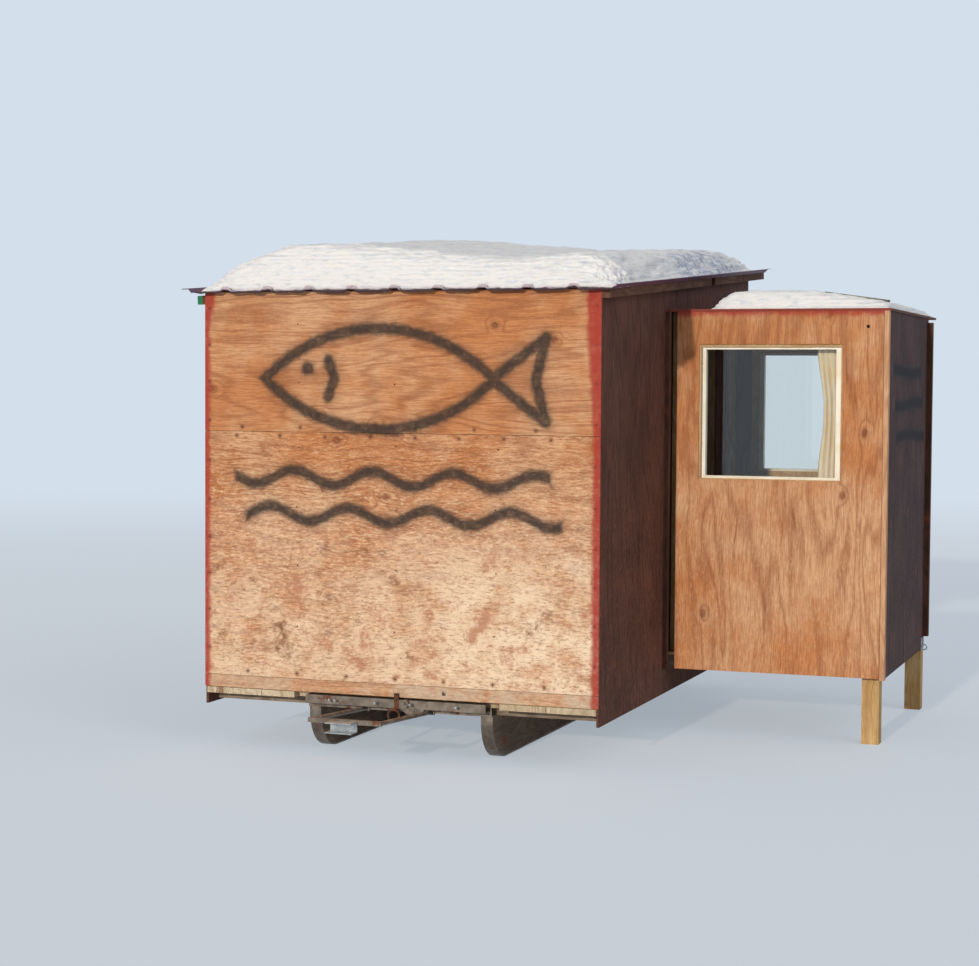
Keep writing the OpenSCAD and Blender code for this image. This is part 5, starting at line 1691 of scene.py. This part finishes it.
@dataclass
class RoofSnow:
    """The main roof: its sheet, battens and purlins, the deep snow on it and its lip over the eave.

    Each rise is the reach and the power that risen takes. Each layer of swells, ragged edge, ripple or
    thickness is a height, a cell and a seed, and each lump is a height and a cell in grid steps. Columns
    and rows are the reaches and counts that edge_rows takes. Each wave of the crust is a height, a turn
    for each metre and a start. crumbled_right is where the lumps begin to grow, over what length and by
    what share.
    """

    places: HutPlaces
    first_rib: float = 0.019
    rib_pitch: float = 0.2254
    rib_height: float = 0.020
    crest: float = 0.032
    foot: float = 0.068
    steel: float = 0.001
    left: float = -2.119
    right: float = 0.088
    front: float = -0.036
    back: float = 3.03
    depth: float = 0.240
    left_rise: tuple[float, float] = (0.235, 1.28)
    right_rise: tuple[float, float] = (0.089, 1.55)
    front_rise: tuple[float, float] = (0.055, 1.25)
    thin_from: float = 0.50
    thin_run: float = 1.12
    thin_share: float = 0.35
    fall_from: float = 1.70
    fall_power: float = 2.9
    swells: Layers = ((0.008, 0.62, 11), (0.006, 0.17, 12))
    ragged: Layers = ((0.009, 0.10, 21), (0.005, 0.04, 22))
    lumps: tuple[tuple[float, float], ...] = ((0.0060, 9), (0.0045, 4), (0.0026, 2))
    lump_seed: int = 40
    crust_step: float = 0.023
    crust_height: float = 0.0020
    crust_waves: tuple[tuple[float, float, float], ...] = ((0.012, 2.3, 0.6), (0.005, 9.1, 0.0))
    columns: tuple[tuple[float, ...], ...] = ((0.35, 0.13), (46, 146, 40))
    rows: tuple[tuple[float, ...], ...] = ((0.30, 0.35), (84, 66, 38))
    swollen_depth: float = 0.06
    ragged_reach: tuple[float, float, float] = (0.06, 0.008, 0.03)
    crumbled_depth: float = 0.05
    crumbled_right: tuple[float, float, float] = (-0.45, 0.40, 0.9)
    bedding: float = 0.0004
    lip_half: float = 0.0055
    lip_columns: int = 900
    lip_corners: int = 12
    lip_ends: tuple[float, float] = (0.020, -0.004)
    lip_foot: float = -0.0040
    lip_fill: float = 0.0115
    lip_top: float = 0.007
    lip_ripple: Layers = ((0.0026, 0.030, 51), (0.0014, 0.011, 52))
    lip_thick: Layers = ((0.0020, 0.050, 53),)

    def build(self, frame: dict) -> None:
        """Dress the roof's pieces and lay the snow.
        """
        ROOF_STEEL.dress(frame, "roof_sheet")
        PURLIN_WOOD.dress(frame, "roof_purlins")
        RIGHT_BATTEN.dress(frame, "right_verge_batten")
        LEFT_BATTEN.dress(frame, "left_verge_batten")
        self.snow()
        self.lip()

    def sheet_top(self, x: np.ndarray) -> np.ndarray:
        """Height of the ribbed sheet's upper face above the roof plane, across the roof.

        Args:
            x: places across the roof.

        Returns:
            A height for each place.
        """
        turn = (x - self.places.roof_lo.x - self.first_rib) / self.rib_pitch
        off = np.abs(turn - np.round(turn)) * self.rib_pitch
        flank = (self.foot / 2 - off) / (self.foot / 2 - self.crest / 2)
        return self.steel + self.rib_height * np.clip(flank, 0, 1)

    def heights(self, xs: np.ndarray, ys: np.ndarray) -> np.ndarray:
        """Depth of the snow above the pans.

        Across the roof it rises like one minus a falling exponential from the left edge and faster from the
        right one, and it thins a little to the right. Up the slope it rises at once behind the eave and
        falls away like a quarter of an ellipse at the back. Low swells are added.

        Args:
            xs: the grid's places across the roof.
            ys: its places up the slope.

        Returns:
            Depths, with a row for each y.
        """
        x, y = np.meshgrid(xs, ys)
        from_left, from_right = x - self.left, self.right - x
        across = risen(from_left, *self.left_rise) * risen(from_right, *self.right_rise)
        across = across * (1 - self.thin_share * smooth((from_left - self.thin_from) / self.thin_run))
        fall = np.clip((y - self.fall_from) / (self.back - self.fall_from), 0, 1)
        up = risen(y - self.front, *self.front_rise) * np.sqrt(np.clip(1 - fall**self.fall_power, 0, 1))
        swell = sum(rough_layers(ys, xs, self.swells))
        base = self.depth * across * up
        return base + swell * smooth(base / self.swollen_depth) * up

    def strata(self, height: np.ndarray, x: np.ndarray) -> np.ndarray:
        """Harder layers of wind crust: the height is drawn towards even steps that wander a little."""
        wander = sum(reach * np.sin(x * turn + start) for reach, turn, start in self.crust_waves)
        return height + self.crust_height * np.sin((height + wander) * 2 * np.pi / self.crust_step)

    def snow(self) -> None:
        """A closed shell: a grid of heights over the roof, closer together near the edges, and an underside
        that lies in the sheet's pans and over its ribs."""
        xs = edge_rows(self.left, self.right, *self.columns)
        ys = edge_rows(self.front, self.back, *self.rows)
        x, y = np.meshgrid(xs, ys)
        rise = self.strata(self.heights(xs, ys), x)
        edge = sum(np.abs(layer) for layer in rough_layers(ys, xs, self.ragged))
        at_left, at_right, at_front = self.ragged_reach
        x = x + edge * np.exp(-(x - self.left) / at_left) - edge * np.exp(-(self.right - x) / at_right)
        y = y + edge * np.exp(-(y - self.front) / at_front)
        under = self.places.roof_z(y) + self.sheet_top(x) + self.bedding
        top = np.maximum(self.places.roof_z(y) + self.steel + np.maximum(rise, 0), under)
        more_from, more_run, more = self.crumbled_right
        calm = smooth((top - under) / self.crumbled_depth) * (1 + more * smooth((x - more_from) / more_run))
        upper = crumbled(np.stack([x, y, top], axis=-1), self.lumps, calm, self.lump_seed)
        points, faces = snow_shell(upper, under)
        cap = new_piece("roof_snow_cap", self.places.part(points), faces, SNOW, replaces=("main_roof_snow",))
        merge_doubles(cap)

    def lip(self) -> None:
        """Snow over the sheet's front edge: an ellipse carried along the eave.

        Its top follows the sheet's upper face. Its foot hangs a little below the pans' edge and closes the
        upper part of each rib's mouth. Both are ragged.
        """
        x = np.linspace(self.left + self.lip_ends[0], self.right + self.lip_ends[1], self.lip_columns)
        one = np.zeros(1)
        ripple = sum(rough_layers(x, one, self.lip_ripple))
        thick = sum(rough_layers(x, one, self.lip_thick))
        pan = self.sheet_top(x)[:, None]
        foot = self.lip_foot + (pan - self.steel) / self.rib_height * self.lip_fill + ripple
        top = pan + self.lip_top + thick
        corners = self.lip_corners
        angle = np.linspace(0, 2 * np.pi, corners, endpoint=False)[None, :]
        eave = self.places.roof_lo.y
        y = np.broadcast_to(eave - self.lip_half * np.cos(angle), (len(x), corners))
        z = self.places.roof_z(eave) + (top + foot) / 2 + (top - foot) / 2 * np.sin(angle)
        points = np.stack([np.broadcast_to(x[:, None], y.shape), y, z], axis=-1).reshape(-1, 3)
        faces = grid_quads(len(x), corners, wrap=True).tolist()
        faces += [list(range(corners)), [len(points) - 1 - i for i in range(corners)]]
        merge_doubles(new_piece("eave_snow_lip", self.places.part(points), faces, SNOW), 1e-6)


@dataclass
class Sledge:
    """The towing sledge under the main hut, with the bolts on its steel."""

    places: HutPlaces
    bolt_xs: tuple[float, ...] = (-1.364, -1.335, -1.121, -0.938, -0.70)
    bolt_z: float = -0.028
    bolt_radius: float = 0.0085
    bolt_height: float = 0.006
    member_bolt_y: float = 0.052
    member_bolt_z: float = -0.056
    runner_half: float = 0.03
    washer: tuple[float, float] = (-0.777, 0.0295)
    washer_radius: float = 0.0115
    washer_t: float = 0.002
    screw_radius: float = 0.0052
    screw_height: float = 0.003

    def build(self, frame: dict) -> None:
        """Dress the runners, steel and coupling, and put in the bolts.
        """
        RUNNER_WOOD.dress(frame, "runners")
        OLD_STEEL.dress(frame, "runner_shoes", "sledge_cross_members", "drawbar")
        ZINC.dress(frame, "coupler")
        RUSTY.dress(frame, "tow_ring")
        self.bolts()
        self.ring_washer()

    def bolts(self) -> None:
        """Six-sided bolt heads on the head beam and, over each runner, on the front cross member."""
        steel, _ = self.places.box("sledge_cross_members")
        runners_lo, runners_hi = self.places.box("runners")
        heads = np.array([(x, steel.y, self.bolt_z) for x in self.bolt_xs])
        middles = (runners_lo.x + self.runner_half, runners_hi.x - self.runner_half)
        on_runners = np.array([(x, self.member_bolt_y, self.member_bolt_z) for x in middles])
        centres = np.concatenate([heads, on_runners])
        points, faces = domes(centres, (0, -1, 0), self.bolt_radius, self.bolt_height, sides=6)
        merge_doubles(new_piece("sledge_bolts", self.places.part(points), faces, ZINC), 1e-6)

    def ring_washer(self) -> None:
        """A flat washer with a small bolt on the bottom strip: one wide low dome and one narrow on it."""
        x, z = self.washer
        seat, face = np.array([(x, 0.0, z)]), np.array([(x, -self.washer_t, z)])
        points, faces = domes(seat, (0, -1, 0), self.washer_radius, self.washer_t, sides=20)
        merge_doubles(new_piece("strip_washer", self.places.part(points), faces, OLD_STEEL), 1e-6)
        points, faces = domes(face, (0, -1, 0), self.screw_radius, self.screw_height, sides=8)
        merge_doubles(new_piece("strip_washer_screw", self.places.part(points), faces, DARK_STEEL), 1e-6)


@dataclass
class Annex:
    """The annex: panels, boards, posts, roof deck with its snow and lath, and the tie hook.

    The insets are how far the snow stays inside the deck at its side, front and back. Rises, layers,
    lumps, columns and rows are given as in RoofSnow.
    """

    places: HutPlaces
    depth: float = 0.105
    left: float = 0.222
    insets: tuple[float, float, float] = (0.013, 0.013, 0.03)
    bend: float = 0.70
    bend_round: float = 0.04
    fall: float = 1.58
    left_rise: tuple[float, float] = (0.05, 0.9)
    front_rise: tuple[float, float] = (0.05, 1.2)
    back_rise: tuple[float, float] = (0.10, 1.2)
    side_reach: float = 0.012
    swells: Layers = ((0.004, 0.35, 31), (0.002, 0.09, 32))
    ragged: Layers = ((0.007, 0.07, 35), (0.003, 0.03, 36))
    lumps: tuple[tuple[float, float], ...] = ((0.0045, 8), (0.0028, 4), (0.0014, 2))
    lump_seed: int = 60
    crust_step: float = 0.019
    crust_height: float = 0.0022
    crust_wave: tuple[float, float] = (0.003, 3)
    columns: tuple[tuple[float, ...], ...] = ((0.16, 0.05), (44, 74, 16))
    rows: tuple[tuple[float, ...], ...] = ((0.14, 0.16), (50, 70, 26))
    swollen_depth: float = 0.03
    ragged_reach: float = 0.03
    crumbled_depth: float = 0.04
    least_depth: float = 0.001
    bedding: float = 0.0003
    hole: tuple[float, float] = (1.041, 1.825)
    hole_radius: float = 0.009
    hole_t: float = 0.0003

    def build(self, frame: dict) -> None:
        """Dress the annex and lay its snow.
        """
        ANNEX_FRONT.dress(frame, "annex_front_panel")
        BACK_PLY.dress(frame, "annex_back_panel")
        ANNEX_SIDE.dress(frame, "annex_side_panel")
        CORNER_BOARD.dress(frame, "annex_corner_board")
        DARK_BATTEN.dress(frame, "annex_back_batten", "junction_batten")
        ANNEX_FLOOR.dress(frame, "annex_floor")
        POST_WOOD.dress(frame, "annex_posts")
        DECK_PLY.dress(frame, "annex_roof_deck")
        LATH_WOOD.dress(frame, "roof_lath")
        ZINC.dress(frame, "tie_hook")
        self.bored_hole()
        self.snow()

    def bored_hole(self) -> None:
        """The hole near the front panel's top right corner, as a thin disc of painted shade on the sheet."""
        lo, _ = self.places.box("annex_front_panel")
        centre = np.array([(self.hole[0], lo.y, self.hole[1])])
        points, faces = domes(centre, (0, -1, 0), self.hole_radius, self.hole_t, sides=24)
        merge_doubles(new_piece("bored_hole", self.places.part(points), faces, HOLE_SHADE), 1e-6)

    def snow(self) -> None:
        """A closed shell over the deck.

        Across the deck it rises fast from the left, stays even and past the bend falls in a straight line
        to the side. It rises fast behind the front edge and before the back one.
        """
        lo, hi = self.places.box("annex_roof_deck")
        side_in, front_in, back_in = self.insets
        left, right, front, back = self.left, hi.x - side_in, lo.y + front_in, hi.y - back_in
        xs = edge_rows(left, right, *self.columns)
        ys = edge_rows(front, back, *self.rows)
        x, y = np.meshgrid(xs, ys)
        past = x - self.bend
        sunk = (np.sqrt(past**2 + self.bend_round**2) + past) / 2
        across = risen(x - left, *self.left_rise) * (1 - self.fall * sunk) * risen(
            right - x, self.side_reach, 1,
        )
        up = risen(y - front, *self.front_rise) * risen(back - y, *self.back_rise)
        base = self.depth * across * up
        rise = base + sum(rough_layers(ys, xs, self.swells)) * smooth(base / self.swollen_depth)
        reach, turn = self.crust_wave
        crust = np.sin((rise + reach * np.sin(turn * x)) * 2 * np.pi / self.crust_step)
        rise = rise + self.crust_height * crust
        edge = sum(np.abs(layer) for layer in rough_layers(ys, xs, self.ragged))
        x = x + edge * np.exp(-(x - left) / self.ragged_reach)
        y = y + edge * np.exp(-(y - front) / self.ragged_reach)
        under = np.full_like(x, hi.z + self.bedding)
        top = np.maximum(hi.z + np.maximum(rise, self.least_depth), under)
        calm = smooth((top - under) / self.crumbled_depth)
        upper = crumbled(np.stack([x, y, top], axis=-1), self.lumps, calm, self.lump_seed)
        points, faces = snow_shell(upper, under)
        cap = new_piece(
            "annex_snow_cap", self.places.part(points), faces, SNOW, replaces=("annex_roof_snow",))
        merge_doubles(cap)


@dataclass
class Windows:
    """Both windows and the gathered curtain."""

    places: HutPlaces
    folds: int = 4
    fold_depth: float = 0.009
    side_gap: float = 0.004
    end_gap: float = 0.002
    pinch: float = 0.036
    rows: int = 90
    columns: int = 160

    def build(self, frame: dict) -> None:
        """Dress the frames and glass, and hang the curtain.
        """
        PAINT.dress(frame, "front_window_frame", "back_window_frame")
        GLASS.dress(frame, "window_glass")
        STUD_WOOD.dress(frame, "curtain_rail")
        self.curtain()

    def curtain(self) -> None:
        """A sheet gathered into folds.

        The folds have broad round fronts and narrow valleys behind them, on a slower swing. The left
        edge draws in below the rail and swells out again, and the folds grow deeper downwards.
        """
        lo, hi = self.places.box("curtain")
        u = np.linspace(0, 1, self.columns)[None, :]
        v = np.linspace(0, 1, self.rows)[:, None]
        left = lo.x + self.side_gap + self.pinch * smooth(v / 0.45) * (1 - 0.75 * smooth((v - 0.52) / 0.42))
        x = left + (hi.x - self.side_gap - left) * u
        turn = 2 * np.pi * self.folds * u + 0.9 * np.sin(3 * v + 4 * u)
        swing = 2 * (0.5 + 0.5 * np.cos(turn)) ** 3 - 1
        slow = np.sin(2 * np.pi * 1.5 * u + 1.2)
        grow = 0.55 + 0.45 * smooth(v * 2.5)
        middle = (lo.y + hi.y) / 2
        y = middle + self.fold_depth * grow * (0.78 * swing + 0.22 * slow)
        cut_length = float(hi.z - lo.z - 2 * self.end_gap)
        z = np.broadcast_to(hi.z - self.end_gap - cut_length * v, x.shape)
        points = np.stack([x, y, z], axis=-1)
        run = np.linalg.norm(np.diff(points, axis=1), axis=2)
        along = np.concatenate([np.zeros((self.rows, 1)), np.cumsum(run, axis=1)], axis=1)
        uv = np.stack([along, np.broadcast_to(cut_length * (1 - v), along.shape)], axis=-1).reshape(-1, 2)
        cloth = new_piece(
            "gathered_curtain", self.places.part(points.reshape(-1, 3)), grid_quads(self.rows, self.columns),
            CLOTH, replaces=("curtain",), uv=uv)


@dataclass
class BackDoor:
    """The closed door in the back wall: upright boards on three ledges."""

    places: HutPlaces
    boards: int = 7
    joint: float = 0.002
    board_t: float = 0.021
    ledge_w: float = 0.120
    ledge_inset: float = 0.003
    ledges: int = 3
    eased: float = 0.0025

    def build(self, frame: dict) -> None:
        """Build the leaf and dress its hardware."""
        DARK_STEEL.dress(frame, "door_hardware")
        self.leaf()

    def leaf(self) -> None:
        """Boards side by side at the outer face, and ledges across behind them, all with eased edges."""
        lo, hi = self.places.box("back_door")
        pitch = (hi.x - lo.x + self.joint) / self.boards
        start = lo.x + pitch * np.arange(self.boards)
        face = hi.y - self.board_t
        lows = np.column_stack([start, np.full(self.boards, face), np.full(self.boards, lo.z)])
        highs = np.column_stack([
            start + pitch - self.joint, np.full(self.boards, hi.y), np.full(self.boards, hi.z),
        ])
        heights = np.linspace(lo.z + self.ledge_w, hi.z - 2 * self.ledge_w, self.ledges)
        even = np.ones(self.ledges)
        ledge_lows = np.column_stack([even * (lo.x + self.ledge_inset), even * lo.y, heights])
        ledge_tops = heights + self.ledge_w
        ledge_highs = np.column_stack([even * (hi.x - self.ledge_inset), even * face, ledge_tops])
        points, faces = bars(np.concatenate([lows, ledge_lows]), np.concatenate([highs, ledge_highs]))
        leaf = new_piece(
            "door_leaf", self.places.part(points), faces, DOOR_WOOD, replaces=("back_door",),
            round_off=False)
        soften(leaf, self.eased)


@dataclass
class Studio:
    """Floor, background, lamps and camera."""

    places: HutPlaces
    photo_width: float = 979.0
    focal_px: float = 2077.9
    sensor: float = 36.0
    yaw: float = -0.34628268
    pitch: float = -0.04857987
    roll: float = 0.00606285
    eye: tuple[float, float, float] = (2.80849, -9.30602, 1.53463)
    fill: float = 0.42
    key: float = 1.95
    travel: tuple[float, float, float] = (0.042, 1.0, -0.262)
    side: float = 0.45
    side_travel: tuple[float, float, float] = (-0.8, 0.45, -0.55)
    floor_reach: float = 120.0
    sight: float = 400.0

    def build(self) -> None:
        """Set the stage."""
        self.floor()
        self.world()
        self.lamps()
        self.camera()
        bpy.context.scene.view_settings.view_transform = "Standard"

    def floor(self) -> None:
        """A wide flat floor that the hut stands on."""
        reach = self.floor_reach
        points = np.array([[-reach, -reach, 0], [reach, -reach, 0], [reach, reach, 0], [-reach, reach, 0]])
        mesh = bpy.data.meshes.new("studio_floor")
        mesh.from_pydata(points.tolist(), [], [(0, 1, 2, 3)])
        mesh.materials.append(FLOOR.material())
        floor = bpy.data.objects.new("studio_floor", mesh)
        bpy.context.scene.collection.objects.link(floor)

    def world(self) -> None:
        """An even fill light, and the pale background where the eye or a reflection looks past the hut."""
        world = bpy.data.worlds.new("studio_world")
        bpy.context.scene.world = world
        world.use_nodes = True
        tree = world.node_tree
        tree.nodes.clear()
        light = add(tree, "Background", None, {"Color": linear("#f2f5fa"), "Strength": self.fill})
        shown = add(tree, "Background", None, {"Color": linear(FLOOR.backdrop), "Strength": 1.0})
        mixed = add(tree, "MixShader", None, (seen_share(tree), light, shown))
        add(tree, "OutputWorld", None, {"Surface": mixed})

    def lamps(self) -> None:
        """One low key from straight in front, and a wide weak one from the right for the shaded sides."""
        for name, energy, angle, colour, travel in (
                ("key", self.key, 1.6, "#fff3e4", self.travel),
                ("side", self.side, 35.0, "#e2eaf8", self.side_travel)):
            lamp = bpy.data.lights.new(name, "SUN")
            lamp.energy = energy
            lamp.angle = math.radians(angle)
            lamp.color = linear(colour)[:3]
            stand = bpy.data.objects.new(name, lamp)
            bpy.context.scene.collection.objects.link(stand)
            stand.rotation_mode = "QUATERNION"
            stand.rotation_quaternion = Vector(travel).to_track_quat("-Z", "Y")

    def camera(self) -> None:
        """The photograph's camera, from the fit of the hut's edges."""
        forward = Vector((
            math.sin(self.yaw) * math.cos(self.pitch), math.cos(self.yaw) * math.cos(self.pitch),
            math.sin(self.pitch)))
        level = Vector((math.cos(self.yaw), -math.sin(self.yaw), 0.0))
        upright = level.cross(forward)
        right = math.cos(self.roll) * level + math.sin(self.roll) * upright
        up = -math.sin(self.roll) * level + math.cos(self.roll) * upright
        lens = bpy.data.cameras.new("photo_camera")
        lens.sensor_width = self.sensor
        lens.lens = self.sensor * self.focal_px / self.photo_width
        lens.clip_end = self.sight
        camera = bpy.data.objects.new("photo_camera", lens)
        turn = Matrix((right, up, -forward)).transposed().to_4x4()
        camera.matrix_world = Matrix.Translation(Vector(self.eye) + self.places.origin) @ turn
        bpy.context.scene.collection.objects.link(camera)
        bpy.context.scene.camera = camera


def main() -> None:
    """Build the hut's looks."""
    logging.basicConfig(level=logging.INFO, format="%(message)s", stream=sys.stdout)
    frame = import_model()
    places = HutPlaces.from_frame()
    Studio(places).build()
    for assembly in (MainHut, RoofSnow, Sledge, Annex, Windows, BackDoor):
        assembly(places).build(frame)
        LOG.info("%s done", assembly.__name__)


if __name__ == "__main__":
    main()
